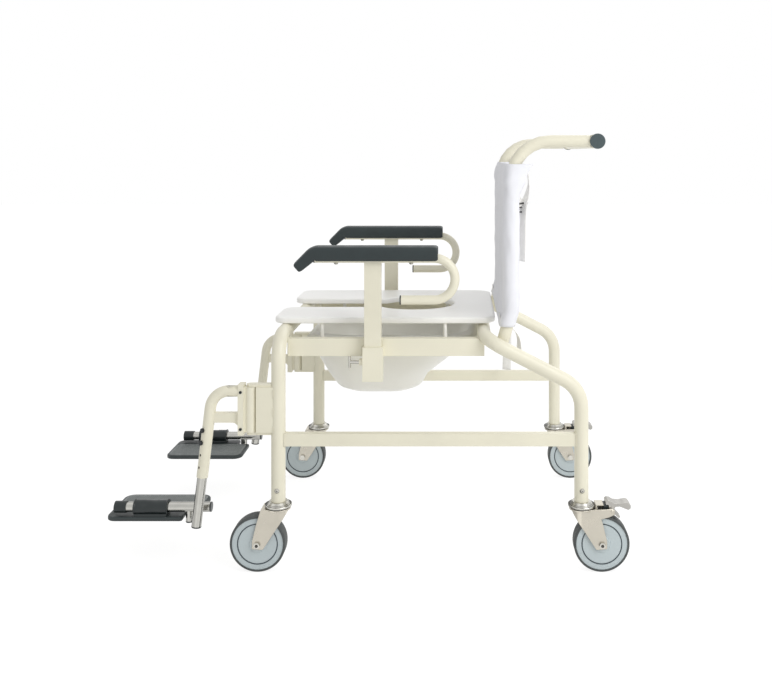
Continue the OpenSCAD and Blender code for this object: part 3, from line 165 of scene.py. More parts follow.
class PlateSizes(bpy.types.PropertyGroup):
    edge: metres("Edge", "Radius of a footplate's upper edge", 0.0028, 0.0005, 0.006)
    stud_pitch: metres("Stud pitch", "Distance between the studs of the tread", 0.0058, 0.003, 0.02)
    stud: metres("Stud", "Radius of a stud", 0.0014, 0.0005, 0.004)


# Sizes of the dark rings that paint the shade in the wheels' grooves
class WheelSizes(bpy.types.PropertyGroup):
    ring_radius: metres("Ring radius", "Radius of the dark ring in a wheel's groove", 0.0447, 0.03, 0.06)
    ring: metres("Ring", "Thickness of that ring", 0.0011, 0.0005, 0.003)


class WeldSizes(bpy.types.PropertyGroup):
    rail: metres("Rail bead", "Radius of the beads round the ends of the rails", 0.0019, 0.0005, 0.005)
    bar: metres("Bar bead", "Radius of the beads at the push bar", 0.0017, 0.0005, 0.005)
    stitch: metres(
        "Stitch bead", "Radius of the short beads at brackets and sockets", 0.0014, 0.0005, 0.004)


class StudioSettings(bpy.types.PropertyGroup):
    sky: bpy.props.FloatProperty(
        name="Sky", description="Strength of the even light from all round", default=0.60, min=0.0, max=3.0)
    key: watts("Key", "Power of the large lamp at the near side behind the chair", 48.0)
    fill: watts("Fill", "Power of the lamp at the far side behind the chair", 16.0)
    lens: bpy.props.FloatProperty(
        name="Lens", description="Focal length in millimetres", default=41.64, min=10.0, max=200.0)


GROUPS = {
    "chair_colours": ChairColours, "cover_sizes": CoverSizes, "strap_sizes": StrapSizes,
    "pad_sizes": PadSizes, "seat_sizes": SeatSizes, "pan_sizes": PanSizes, "plate_sizes": PlateSizes,
    "wheel_sizes": WheelSizes, "weld_sizes": WeldSizes, "studio_settings": StudioSettings,
}


# Nodes
def add_node(tree, kind, **values):
    """A node with its inputs and settings by name; the spaces in an input's name are underscores."""
    node = tree.nodes.new(kind)
    for key, value in values.items():
        place = key.replace("_", " ")
        if place in node.inputs:
            node.inputs[place].default_value = value
        else:
            setattr(node, key, value)
    return node


def mixed_shaders(tree, factor, first, second, output):
    """Send the first shader to the output where the factor is 0 and the second where it is 1."""
    mix = add_node(tree, "ShaderNodeMixShader")
    tree.links.new(factor, mix.inputs["Fac"])
    tree.links.new(first, mix.inputs[1])
    tree.links.new(second, mix.inputs[2])
    tree.links.new(mix.outputs[0], output.inputs["Surface"])


def ray_is(tree, *kinds):
    """1 for rays of any of these kinds, else 0."""
    path = add_node(tree, "ShaderNodeLightPath")
    value = path.outputs[kinds[0]]
    for kind in kinds[1:]:
        most = add_node(tree, "ShaderNodeMath", operation="MAXIMUM")
        tree.links.new(value, most.inputs[0])
        tree.links.new(path.outputs[kind], most.inputs[1])
        value = most.outputs[0]
    return value


# Finishes
class Finish:
    """A material and the few nodes that every finish of the chair starts from."""

    def __init__(self, name):
        self.material = bpy.data.materials.new(name)
        self.material.use_nodes = True
        self.tree = self.material.node_tree
        self.tree.nodes.clear()
        self.output = self.add("ShaderNodeOutputMaterial")
        self.shader = self.add("ShaderNodeBsdfPrincipled")
        self.link(self.shader.outputs["BSDF"], self.output.inputs["Surface"])
        self.place = self.add("ShaderNodeTexCoord").outputs["Object"]

    def add(self, kind, **values):
        return add_node(self.tree, kind, **values)

    def link(self, start, end):
        self.tree.links.new(start, end)

    def set(self, **values):
        for key, value in values.items():
            self.shader.inputs[key.replace("_", " ")].default_value = value

    def stretched(self, stretch):
        """The place on the piece, stretched, so that a grain can run one way."""
        node = self.add("ShaderNodeMapping", Scale=stretch)
        self.link(self.place, node.inputs["Vector"])
        return node.outputs["Vector"]

    def noise(self, scale, detail=2.0, rough=0.5, place=None):
        node = self.add("ShaderNodeTexNoise", Scale=scale, Detail=detail, Roughness=rough)
        self.link(place or self.place, node.inputs["Vector"])
        return node.outputs["Fac"]

    def ramp(self, value, rows):
        """A colour ramp over a value, from rows of (place, colour) whose first two are its ends."""
        node = self.add("ShaderNodeValToRGB")
        stops = node.color_ramp.elements
        for index, (place, tone) in enumerate(rows):
            stop = stops[index] if index < 2 else stops.new(place)
            stop.position = place
            stop.color = (*tone, 1)
        self.link(value, node.inputs["Fac"])
        return node.outputs["Color"]

    def shaded(self, base, spread=0.04, patch=9.0):
        """The base colour, a little darker and lighter in soft patches."""
        dark = [max(0.0, value * (1 - spread)) for value in base]
        light = [min(1.0, value * (1 + spread)) for value in base]
        tone = self.ramp(self.noise(patch, 4.0), ((0.3, dark), (0.7, light)))
        self.link(tone, self.shader.inputs["Base Color"])

    def paint_reflection_bands(self, bands):
        """Painted reflections: darken the base colour by the way the surface faces a fixed direction, light
        and dark as a polished metal would mirror its surroundings; rows of (facing, share of the colour).
        """
        facing = self.add("ShaderNodeVectorMath", operation="DOT_PRODUCT")
        self.link(self.add("ShaderNodeNewGeometry").outputs["Normal"], facing.inputs[0])
        facing.inputs[1].default_value = REFLECTED_LIGHT_AXIS
        size = self.add("ShaderNodeMath", operation="ABSOLUTE")
        self.link(facing.outputs["Value"], size.inputs[0])
        mix = self.add("ShaderNodeMix", data_type="RGBA", blend_type="MULTIPLY", Factor=1.0)
        base = self.shader.inputs["Base Color"]
        self.link(base.links[0].from_socket, mix.inputs["A"])
        stops = [(place, [value] * 3) for place, value in bands]
        self.link(self.ramp(size.outputs[0], stops), mix.inputs["B"])
        self.link(mix.outputs["Result"], base)

    def rough(self, low, high, patch=30.0):
        """The roughness, between a low and a high value in patches."""
        node = self.add("ShaderNodeMapRange", From_Min=0.3, From_Max=0.7, To_Min=low, To_Max=high)
        self.link(self.noise(patch, 3.0), node.inputs["Value"])
        self.link(node.outputs["Result"], self.shader.inputs["Roughness"])

    def bump(self, height, depth, strength=1.0, edge=0.0):
        """Relief of the given depth in metres, over edges softened by the given radius."""
        node = self.add("ShaderNodeBump", Strength=strength, Distance=depth)
        self.link(height, node.inputs["Height"])
        if edge:
            soft = self.add("ShaderNodeBevel", samples=6, Radius=edge)
            self.link(soft.outputs["Normal"], node.inputs["Normal"])
        self.link(node.outputs["Normal"], self.shader.inputs["Normal"])

    def waves(self, direction, pitch, **values):
        """Even waves of a pitch in metres along one direction."""
        wave = self.add(
            "ShaderNodeTexWave", wave_type="BANDS", bands_direction=direction, Scale=1 / (pitch * 20),
            **values)
        self.link(self.place, wave.inputs["Vector"])
        return wave.outputs["Fac"]


def coat_finish(name, base, rough, spread=0.03, grain=1400.0, depth=0.00006, edge=0.0007, clear=0.0):
    """A painted or glossy moulded surface with a faint grain and, where given, a clear coat."""
    made = Finish(name)
    made.shaded(base, spread)
    made.rough(rough - 0.05, rough + 0.07)
    made.bump(made.noise(grain, 2.0), depth, 0.5, edge)
    made.set(Coat_Weight=clear, Coat_Roughness=0.22)
    return made.material


def metal_finish(name, base, rough, stretch=(1, 1, 1), grain=260.0, spread=0.08, edge=0.0006, bands=()):
    """Metal, with a grain and, where given, painted reflections: a banding of light and dark by the way the
    surface faces, in place of what a polished tube mirrors.
    """
    made = Finish(name)
    made.shaded(base, spread, 40.0)
    if bands:
        made.paint_reflection_bands(bands)
    made.rough(rough - 0.06, rough + 0.10, 60.0)
    made.bump(made.noise(grain, 3.0, 0.6, made.stretched(stretch)), 0.000012, 0.4, edge)
    made.set(Metallic=1.0)
    return made.material


def moulded_finish(name, base, rough, grain=1100.0, depth=0.00014, spread=0.10, edge=0.0008, sheen=0.0):
    """Moulded plastic, rubber or foam skin with a fine pebbled grain."""
    made = Finish(name)
    made.shaded(base, spread, 30.0)
    made.rough(rough - 0.06, rough + 0.08, 45.0)
    pebble = made.add("ShaderNodeTexVoronoi", Scale=grain)
    made.link(made.place, pebble.inputs["Vector"])
    made.bump(pebble.outputs["Distance"], depth, 0.5, edge)
    made.set(Sheen_Weight=sheen, Sheen_Roughness=0.4)
    return made.material


def woven_finish(name, base, depth=0.00022):
    """Plain weave: two waves across each other, with the threads' own colour variation."""
    made = Finish(name)
    cross = made.add("ShaderNodeMath", operation="MULTIPLY")
    for place, direction in enumerate("YZ"):
        wave = made.waves(
            direction, 0.0011, wave_profile="SIN", Distortion=0.6, Detail=1.0, Detail_Scale=3.0)
        made.link(wave, cross.inputs[place])
    made.shaded(base, 0.03, 14.0)
    made.rough(0.77, 0.90)
    made.bump(cross.outputs["Value"], depth, 0.6)
    made.set(Sheen_Weight=0.15)
    return made.material


def ribbed_finish(name, base):
    """Webbing: slanting ribs across the strap."""
    made = Finish(name)
    made.shaded(base, 0.04, 50.0)
    made.rough(0.7, 0.85)
    made.bump(made.waves("Z", 0.0016, Distortion=1.2), 0.00035, 0.7)
    return made.material


# Painted reflections on the metals: the direction against which their banding is laid, and each metal's
# banding as rows of (facing, share of the colour)
REFLECTED_LIGHT_AXIS = (0.42, -0.78, 0.46)
ZINC_PAINTED_REFLECTIONS = ((0.0, 0.20), (1.0, 0.92), (0.28, 0.34), (0.42, 0.86), (0.56, 0.50), (0.74, 1.0), (0.88, 0.62))
CHROME_PAINTED_REFLECTIONS = (
    (0.0, 0.24), (1.0, 1.0), (0.22, 0.36), (0.40, 0.72), (0.62, 0.62), (0.80, 0.98), (0.92, 0.74))
FORK_PAINTED_REFLECTIONS = ((0.0, 0.50), (1.0, 0.78), (0.35, 0.60), (0.55, 1.0), (0.68, 1.0), (0.78, 0.78))
FINISHES = {}


def make_finishes(look):
    """Every finish of the chair, by the name of the record's slot or of a piece's own."""
    def dimmed(base, share):
        return [value * share for value in base]

    coat, metal, moulded = coat_finish, metal_finish, moulded_finish
    return {
        "frame_paint": coat("Cream powder coat", look.frame_coat, 0.42, clear=0.15),
        "weld": coat("Coated weld", dimmed(look.frame_coat, 0.90), 0.5, 0.06, 500.0, 0.0003),
        "dark_plastic": moulded("Dark moulded plastic", look.cap, 0.34, 1100.0, 0.00005),
        "bar_cap": moulded("Push bar cap", look.bar_cap, 0.5),
        "dark_steel": metal("Blackened steel", written(58, 60, 62), 0.38, edge=0.0004),
        "pedal": metal("Pressed zinc", written(178, 176, 171), 0.36, edge=0.0010),
        # Zinc, fork steel and chrome carry painted reflections: light and dark laid by the way the surface
        # faces
        "zinc": metal("Bright zinc", written(218, 216, 208), 0.24, edge=0.0005, bands=ZINC_PAINTED_REFLECTIONS),
        "fork_steel": metal(
            "Fork steel", written(222, 216, 202), 0.30, (8, 8, 1), 180.0, 0.03, 0.0022, FORK_PAINTED_REFLECTIONS),
        "chrome_tube": metal(
            "Brushed chrome", written(204, 203, 197), 0.20, (6, 6, 0.4), 300.0, 0.05, 0.0, CHROME_PAINTED_REFLECTIONS),
        "white_cloth": woven_finish("White cloth", look.cloth),
        "hem_cloth": woven_finish("Panel cloth", dimmed(look.cloth, 0.98), 0.0003),
        "thread": coat("White thread", written(228, 230, 236), 0.8, 0.02, 4000.0, edge=0.0),
        "webbing": ribbed_finish("White webbing", look.webbing),
        "buckle": moulded("Buckle plastic", written(46, 47, 48), 0.35, 900.0, 0.00005),
        "seat_white": coat("White seat moulding", look.seat, 0.34, 0.012, 260.0, 0.00002, 0.0, 0.15),
        "pan_white": coat("Pan moulding", look.pan, 0.34, 0.015, 500.0, 0.00006, 0.0, 0.15),
        "pad": moulded("Arm pad skin", look.pad, 0.46, 1500.0, 0.00010, 0.12, 0.0, 0.03),
        "plate": moulded("Plate moulding", look.plate, 0.46),
        "tread": moulded("Tread moulding", look.tread, 0.55, 900.0, 0.0002, 0.08, 0.0),
        "wheel_grey": coat("Wheel disc", look.wheel, 0.38, 0.025, 800.0, 0.00005, 0.0006, 0.1),
        # Dark finish that paints the shade in screw recesses, axle bolt sockets and race grooves
        "recess": moulded("Painted recess shade", written(62, 60, 56), 0.5, edge=0.0),
        # Dark finish that paints the shade in the grooves of the wheel discs
        "wheel_ring": moulded("Painted groove shade", written(52, 64, 72), 0.5, edge=0.0),
        "tyre": moulded("Tyre rubber", look.tyre, 0.62, 1300.0, 0.0001, 0.08),
    }


# Meshes
def piece(name, shape, body, finish, parts=(), smooth=True):
    """A mesh of the chair that rides on a body and takes the finish of one of the record's slots."""
    points, faces = shape
    mesh = bpy.data.meshes.new(name)
    mesh.from_pydata([tuple(point) for point in points], [], faces)
    mesh.validate()
    for part in (finish, *parts):
        mesh.materials.append(FINISHES[part])
    work = bmesh.new()
    work.from_mesh(mesh)
    bmesh.ops.recalc_face_normals(work, faces=work.faces)
    work.to_mesh(mesh)
    work.free()
    for face in mesh.polygons:
        face.use_smooth = smooth
    made = bpy.data.objects.new(name, mesh)
    bpy.context.scene.collection.objects.link(made)
    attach(made, body)
    return made


def loft(rings, closed=True, start_cap=True, end_cap=True):
    """Faces between rings of equally many points, with one face at each capped end."""
    count = len(rings[0])
    points = [point for ring in rings for point in ring]
    faces = []
    for row in range(0, len(points) - count, count):
        for place in range(count if closed else count - 1):
            a, b = row + place, row + (place + 1) % count
            faces.append((a, b, b + count, a + count))
    if start_cap:
        faces.append(tuple(reversed(range(count))))
    if end_cap:
        faces.append(tuple(range(len(points) - count, len(points))))
    return points, faces


def joined(parts):
    """One list of points and faces from several."""
    points, faces = [], []
    for some_points, some_faces in parts:
        base = len(points)
        points += list(some_points)
        faces += [tuple(base + index for index in face) for face in some_faces]
    return points, faces


def swept(line, outline, up=Vector((0, 1, 0)), twists=None):
    """Rings of an outline, given as (along up, across) pairs, carried along a line of points."""
    rings = []
    for index, point in enumerate(line):
        ahead = line[min(index + 1, len(line) - 1)] - line[max(index - 1, 0)]
        ahead.normalize()
        side = (up - ahead * up.dot(ahead)).normalized()
        if twists:
            side = Matrix.Rotation(twists[index], 3, ahead) @ side
        across = ahead.cross(side)
        rings.append([point + side * u + across * v for u, v in outline])
    return rings


def circle(count, radius, closed=False):
    """Pairs of places round a circle, with the first one again at the end of a closed one."""
    turns = [math.tau * i / count for i in range(count + 1 if closed else count)]
    return [(radius * math.cos(turn), radius * math.sin(turn)) for turn in turns]


def arc(x, y, radius, start, end, steps):
    """Pairs of places along an arc between two angles in degrees."""
    turns = [math.radians(start + (end - start) * step / steps) for step in range(steps + 1)]
    return [(x + radius * math.cos(turn), y + radius * math.sin(turn)) for turn in turns]


def box_outline(width, height, radius, steps=3):
    """A rounded rectangle about the origin."""
    outline = []
    for quarter, (sx, sy) in enumerate(((1, 1), (-1, 1), (-1, -1), (1, -1))):
        outline += arc(
            sx * (width / 2 - radius), sy * (height / 2 - radius), radius,
            90 * quarter, 90 * quarter + 90, steps)
    return outline


def turned(profile, centre, axis, sides):
    """Rings about one axis (0, 1 or 2) through the centre, from pairs of radius and place along it."""
    u, v = (place for place in range(3) if place != axis)
    rings = []
    for radius, along in profile:
        rings.append([])
        for places in circle(sides, radius):
            point = Vector(centre)
            point[axis] += along
            point[u] += places[0]
            point[v] += places[1]
            rings[-1].append(point)
    return rings


def rolled_edge(edge, low, high, lower_steps, upper_steps, flat):
    """Levels of a board as (inset, height): half the round below, the full round above, then the flat."""
    levels = []
    for step in range(lower_steps + 1):
        turn = math.pi / 2 * step / lower_steps
        levels.append((edge / 2 * (1 - math.sin(turn)), low + edge / 2 * (1 - math.cos(turn))))
    for step in range(upper_steps + 1):
        turn = math.pi / 2 * step / upper_steps
        levels.append((edge * (1 - math.cos(turn)), high - edge + edge * math.sin(turn)))
    return levels + [(edge * flat, high)]


def bevelled(made, name, width, segments, angle):
    """A bevel over the sharp edges of a piece."""
    bevel = made.modifiers.new(name, "BEVEL")
    bevel.width = width
    bevel.segments = segments
    bevel.limit_method = "ANGLE"
    bevel.angle_limit = math.radians(angle)
    return bevel


# Cover: where its sleeves come loose, the depth of its last turn, and its panel, puckers and seams
LOOSE_Z = 0.845
TURNED_IN = 0.030
PANEL_INSET = 0.036
GATHER_Z = 0.873
TUCK_Z = 0.858
SEAM_INSETS = (0.034, 0.038)
COVER_ROWS = 64


def upright_at(z):
    """Where the axis of an upright stands at a height."""
    x = UPRIGHT_X - max(0.0, LEAN_Z - z) * LEAN_TAN
    rise = min(z - BAR_Z + TOP_BEND, TOP_BEND * 0.98)
    if rise > 0:
        x += TOP_BEND - math.sqrt(TOP_BEND ** 2 - rise ** 2)
    return x


def cover_row(z, sizes):
    """The cover's line at one height, from the near seam round both uprights to the far seam."""
    lift = (z - sizes.bottom_z) / (sizes.top_z - sizes.bottom_z)
    axis_x, radius = upright_at(z), sizes.sleeve_radius
    loose = max(0.0, (z - LOOSE_Z) / (sizes.top_z - LOOSE_Z)) ** 0.7
    back = radius + loose * (sizes.flare - radius)
    front_x = axis_x - radius
    half = []
    for step in range(8):
        part = step / 7
        half.append((front_x + 0.0006 * math.sin(math.pi * part), (UPRIGHT_Y - 0.004) * part))
    for step in range(1, 22):
        turn = math.pi * (1 + step / 21)
        reach = radius if math.cos(turn) < 0 else back
        half.append((axis_x + reach * math.cos(turn), UPRIGHT_Y - radius * math.sin(turn)))
    for step in range(1, 9):
        part = step / 8
        half.append((
            axis_x + back * (1 - part) + (front_x + sizes.cloth * 1.6 - axis_x) * part,
            UPRIGHT_Y - TURNED_IN * math.sin(part * math.pi / 2) - 0.006 * part))
    line = [Vector((x, -y, z)) for x, y in reversed(half)] + [Vector((x, y, z)) for x, y in half[1:]]
    gather = math.exp(-((z - GATHER_Z) / 0.006) ** 2) - 0.7 * math.exp(-((z - TUCK_Z) / 0.008) ** 2)
    for point in line:
        wave = noise.noise(Vector((point.x * 20, point.y * 14, point.z * 9)))
        fold = noise.noise(Vector((point.x * 60, point.y * 60, point.z * 30 + 7)))
        slack = 0.0012 + 0.022 * max(0.0, abs(point.y) / UPRIGHT_Y - 0.9) * lift
        if abs(point.y) > UPRIGHT_Y - TURNED_IN:
            point.x += 0.0011 * gather * (1 if point.x > axis_x else -1)
        point.x += wave * 0.0016 + fold * slack * 0.8
        if abs(point.y) > UPRIGHT_Y:
            point.y += fold * 0.0009
    return line


class CHAIR_OT_back_cover(bpy.types.Operator):
    """Make the cloth cover with its two sleeves, hems and seams"""
    bl_idname = "chair.back_cover"
    bl_label = "Back cover"

    def execute(self, context):
        sizes = context.scene.cover_sizes
        height = sizes.top_z - sizes.bottom_z
        lines = [
            cover_row(sizes.bottom_z + height * row / COVER_ROWS, sizes) for row in range(COVER_ROWS + 1)]
        cover = piece(
            "back_cover_cloth", loft(lines, False, False, False), "frame", "white_cloth",
            ("hem_cloth",))
        for face in cover.data.polygons:
            face.material_index = int(abs(face.center.y) < UPRIGHT_Y - PANEL_INSET)
        shell = cover.modifiers.new("Two layers", "SOLIDIFY")
        shell.thickness = sizes.cloth
        shell.offset = 1.0
        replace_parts(cover, "back_cover")
        hems = (sizes.bottom_z + sizes.hem, sizes.top_z - sizes.hem)
        seams = [self.stitches(cover_row(z, sizes), sizes) for z in hems]
        steps = COVER_ROWS * 2
        heights = [sizes.bottom_z + 0.004 + (height - 0.008) * step / steps for step in range(steps + 1)]
        for side in (NEAR, FAR):
            for inset in SEAM_INSETS:
                seams.append(self.stitches([
                    Vector((upright_at(z) - sizes.sleeve_radius - 0.0004, side * (UPRIGHT_Y - inset), z))
                    for z in heights], sizes))
        thread = piece("cover_stitches", joined(seams), "frame", "thread")
        return {"FINISHED"}

    def stitches(self, line, sizes):
        """Short raised threads along a line on the cloth."""
        parts = []
        outline = circle(6, 0.00042)
        travelled, start = 0.0, line[0]
        for before, here in zip(line, line[1:]):
            travelled += (here - before).length
            if travelled >= sizes.stitch:
                ahead = here - start
                if ahead.length > 1e-6:
                    away = Vector((0, 0, 1)) if abs(ahead.normalized().z) < 0.7 else Vector((0, 1, 0))
                    parts.append(loft(swept([start, start + ahead * 0.72], outline, away)))
                start, travelled = here, 0.0
        return joined(parts)


# Straps: paths as (x, z), the buckle's place, and each lower tail's end, turn in degrees and shift
STRAP_Y = 0.224
STRAP_TURN = 40
STRAP_LOOP = ((0.333, 0.901), (0.356, 0.904), (0.3685, 0.893), (0.372, 0.868), (0.368, 0.842),
              (0.359, 0.812), (0.3565, 0.770), (0.356, 0.728), (0.355, 0.687))
STRAP_RETURN = ((0.357, 0.818), (0.349, 0.830), (0.338, 0.852), (0.330, 0.880))
STRAP_TAILS = {NEAR: (0.462, -22, 0.004), FAR: (0.326, -68, 0.0)}
BUCKLE_X, BUCKLE_Z, BUCKLE_HALF = 0.3565, 0.812, 0.0105


def eased(corners, count):
    """A smooth line through the corners."""
    corners = [Vector(corner) for corner in corners]
    line = []
    for part in range(len(corners) - 1):
        before = corners[max(part - 1, 0)]
        start, end = corners[part], corners[part + 1]
        after = corners[min(part + 2, len(corners) - 1)]
        for step in range(count):
            t = step / count
            line.append(0.5 * (
                2 * start + (end - before) * t + (2 * before - 5 * start + 4 * end - after) * t * t
                + (3 * start - before - 3 * end + after) * t ** 3))
    line.append(corners[-1])
    return line


class CHAIR_OT_straps(bpy.types.Operator):
    """Make the webbing straps behind the cover and their buckles"""
    bl_idname = "chair.straps"
    bl_label = "Straps and buckles"

    def execute(self, context):
        sizes = context.scene.strap_sizes
        strips, buckles = [], []
        for name, side in SIDES:
            y = side * STRAP_Y
            end_z, tail_turn, ahead = STRAP_TAILS[side]
            tail = ((0.304, 0.566), (0.309, 0.548), (0.328 + ahead, 0.532), (0.343 + ahead, 0.512),
                    (0.346 + ahead, 0.495 + (end_z - 0.495) * 0.4), (0.344 + ahead, end_z))
            for path, steps, turn, from_z, over in (
                    (STRAP_LOOP, 8, side * STRAP_TURN, 0.870, 0.06),
                    (STRAP_RETURN, 6, side * STRAP_TURN, 0.86, 0.04),
                    (tail, 8, tail_turn, 0.535, 0.05)):
                line = eased([(x, y, z) for x, z in path], steps)
                strips.append(self.strip(line, math.radians(turn), from_z, over, sizes))
            buckles.append(self.buckle(Vector((BUCKLE_X, y, BUCKLE_Z)), side, sizes))
        straps = piece("webbing_straps", joined(strips), "frame", "webbing")
        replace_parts(straps, "back_straps")
        made = piece("ladder_buckles", joined(buckles), "frame", "buckle")
        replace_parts(made, "strap_buckles")
        return {"FINISHED"}

    def strip(self, line, turn, from_z, over, sizes):
        """Webbing along a line, which turns as it goes down from a height over a length."""
        outline = box_outline(sizes.width, sizes.thickness, sizes.thickness * 0.42, 2)
        turns = [turn * min(1.0, max(0.0, (from_z - point.z) / over)) for point in line]
        return loft(swept(line, outline, Vector((0, 1, 0)), turns))

    def buckle(self, middle, side, sizes):
        """Two rails joined by three bars."""
        turn = Matrix.Rotation(side * math.radians(STRAP_TURN), 3, "Z")
        turn = turn @ Matrix.Rotation(math.radians(12), 3, "Y")
        wire = sizes.buckle_wire
        half_w = sizes.width / 2 + wire * 0.8
        outline = box_outline(wire, wire * 0.8, wire * 0.22, 2)
        across, up = Vector((0, half_w, 0)), Vector((0, 0, BUCKLE_HALF))
        line = [middle + turn @ corner for corner in (-across - up, across - up, across + up, up - across)]
        bars = []
        for place, start in enumerate(line):
            end = line[(place + 1) % 4]
            ahead = (end - start).normalized() * wire / 2
            bars.append((start - ahead, end + ahead))
        inward = Vector((-0.0035, 0, 0))
        bars.append((middle + turn @ (inward - across), middle + turn @ (inward + across)))
        return joined([loft(swept(bar, outline, Vector((1, 0, 0.02)))) for bar in bars])


# Seat board and the well in it
SEAT_FRONT = FRONT_X - 0.028
SEAT_LONG = 0.522
SEAT_HALF = 0.213
SEAT_CORNER = 0.040
HORN = 0.030
MOUTH_HALF = 0.062
WELL_X = 0.097
WELL_R = 0.100


def horseshoe(inset):
    """The seat board's outline, drawn in by an inset: closed, from the far horn round the back."""
    front, back, half = SEAT_FRONT + inset, SEAT_FRONT + SEAT_LONG - inset, SEAT_HALF - inset
    mouth, well = MOUTH_HALF + inset, WELL_R + inset
    corner, horn = SEAT_CORNER - inset, HORN - inset
    reach = math.degrees(math.asin(min(1.0, mouth / well)))
    arcs = (
        (back - corner, corner - half, corner, 270, 360, 8),
        (back - corner, half - corner, corner, 0, 90, 8),
        (front + horn, half - horn, horn, 90, 180, 8), (front + horn, mouth + horn, horn, 180, 270, 8),
        (WELL_X, 0, well, 180 - reach, reach - 180, 40),
        (front + horn, -mouth - horn, horn, 90, 180, 8), (front + horn, horn - half, horn, 180, 270, 8))
    return [place for turn in arcs for place in arc(*turn)]


class CHAIR_OT_seat_board(bpy.types.Operator):
    """Make the moulded seat board with its rolled edge"""
    bl_idname = "chair.seat_board"
    bl_label = "Seat board"

    def execute(self, context):
        low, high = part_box("seat_board")
        levels = rolled_edge(context.scene.seat_sizes.edge, low.z, high.z, 4, 6, 1.6)
        rings = [[Vector((x, y, z)) for x, y in horseshoe(inset)] for inset, z in levels]
        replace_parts(piece("seat_board_moulding", loft(rings), "seat", "seat_white"), "seat_board")
        return {"FINISHED"}


# Pan: the bowl as (share of the depth, front end, rear end, half width), the last three as shares too
BOWL_ROWS = ((0, 0.01, 0.955, 1), (0.28, 0.02, 0.89, 0.98), (0.4, 0.035, 0.846, 0.95),
             (0.72, 0.1, 0.7, 0.84), (0.93, 0.15, 0.66, 0.72), (1, 0.2, 0.605, 0.6))
BOWL_DEPTHS = (
    0, 0.015, 0.05, 0.12, 0.2, 0.28, 0.36, 0.45, 0.55, 0.64, 0.72, 0.79, 0.85, 0.9, 0.94, 0.97, 0.99, 1)
BOWL_HALF = 0.162
BOWL_ROUND = 0.55
FLANGE_CORNER = 0.030
FLANGE_ROUND = 0.0015


def pan_level(depth):
    """Front end, rear end and half width of the bowl at a share of its depth."""
    before, after = next(pair for pair in zip(BOWL_ROWS, BOWL_ROWS[1:]) if depth <= pair[1][0])
    part = (depth - before[0]) / (after[0] - before[0])
    return [a + (b - a) * part for a, b in zip(before[1:], after[1:])]


class CHAIR_OT_commode_pan(bpy.types.Operator):
    """Make the moulded commode pan with its flange"""
    bl_idname = "chair.commode_pan"
    bl_label = "Commode pan"

    def execute(self, context):
        wall = context.scene.pan_sizes.wall
        low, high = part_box("commode_pan")
        length = high.x - low.x
        deep = high.z - low.z - wall

        def ring(x0, x1, half, z, corner):
            outline = box_outline(x1 - x0, 2 * half, corner, 11)
            return [Vector(((x0 + x1) / 2 + u, v, z)) for u, v in outline]

        flange = [
            ring(low.x + inset, high.x - inset, high.y - inset, z, FLANGE_CORNER - inset)
            for inset, z in ((0, high.z - wall), (0, high.z - wall * 0.4), (FLANGE_ROUND, high.z))]
        inner, outer = [], []
        for depth in BOWL_DEPTHS:
            front, back, width = pan_level(depth)
            half = BOWL_HALF * width
            x0, x1 = low.x + length * front, low.x + length * back
            z = max(high.z - wall - depth * deep, low.z)
            outer.append(ring(x0, x1, half, z, half * BOWL_ROUND))
            inner.append(ring(x0 + wall, x1 - wall, half - wall, z + wall, (half - wall) * BOWL_ROUND))
        shape = joined([
            loft(flange + inner, True, False, True), loft(flange[:1] + outer, True, False, True)])
        pan = piece("commode_pan_moulding", shape, "pan", "pan_white")
        pan.modifiers.new("Weld", "WELD").merge_threshold = 0.00005
        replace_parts(pan, "commode_pan")
        return {"FINISHED"}


# Arm pads
PAD_BEND = 0.012
PAD_THINNER = 0.002
PAD_BACK_STEPS = (0.0, 0.0025, 0.006, 0.012, 0.03, 0.08, 0.14, 0.2, 0.25)
PAD_NOSE_STEPS = (0.010, 0.022, 0.032, 0.038, 0.0415, 0.0435)
PAD_END_SHARES = (0.80, 0.93, 0.985, 1.0)


def pad_stations(sizes):
    """Places along a pad, each with its middle, its slope and its half height."""
    half = (sizes.above + sizes.below) / 2
    middle = ARM_Z + (sizes.above - sizes.below) / 2
    stations = [(PAD_BACK_X - part, middle, 0.0, half) for part in PAD_BACK_STEPS]
    for step in range(7):
        turn = PAD_SLOPE * step / 6
        stations.append((
            PAD_FRONT_X + 0.006 - PAD_BEND * math.sin(turn) * 1.6,
            middle - PAD_BEND * (1 - math.cos(turn)) * 1.2, turn, half - PAD_THINNER * step / 6))
    start_x, start_z = stations[-1][:2]
    for part in PAD_NOSE_STEPS:
        stations.append((
            start_x - part * math.cos(PAD_SLOPE), start_z - part * math.sin(PAD_SLOPE), PAD_SLOPE,
            half - PAD_THINNER - 0.0025 * part / PAD_NOSE_STEPS[-1]))
    return stations


class CHAIR_OT_arm_pads(bpy.types.Operator):
    """Make the two soft arm pads with their sloping noses"""
    bl_idname = "chair.arm_pads"
    bl_label = "Arm pads"

    def execute(self, context):
        sizes = context.scene.pad_sizes
        stations = pad_stations(sizes)
        for name, side in SIDES:
            rings = []
            for index, (x, z, turn, half) in enumerate(stations):
                shrink = PAD_END_SHARES[min(index, len(stations) - 1 - index, 3)]
                middle = Vector((x, side * ARM_Y, z))
                up = Vector((-math.sin(turn), 0, math.cos(turn)))
                wide = sizes.width / 2 * (0.94 + 0.06 * shrink)
                rings.append(self.section(middle, up, half * shrink, wide, sizes.crown))
            pad = piece("arm_pad_skin_" + name, loft(rings), "arm_" + name, "pad")
            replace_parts(pad, "arm_pad_" + name)
        return {"FINISHED"}

    def section(self, middle, up, half, wide, crown):
        """One ring of the pad: crowned on top, round at the upper edges, nearly square below."""
        ring = []
        for c, s in circle(48, 1.0):
            power = 0.42 if s > 0 else 0.22
            u = math.copysign(abs(c) ** power, c) * wide
            v = math.copysign(abs(s) ** power, s) * half
            if s > 0:
                v += crown * (1 - (u / wide) ** 2) - crown * 0.6
            ring.append(middle + Vector((0, u, 0)) + up * v)
        return ring


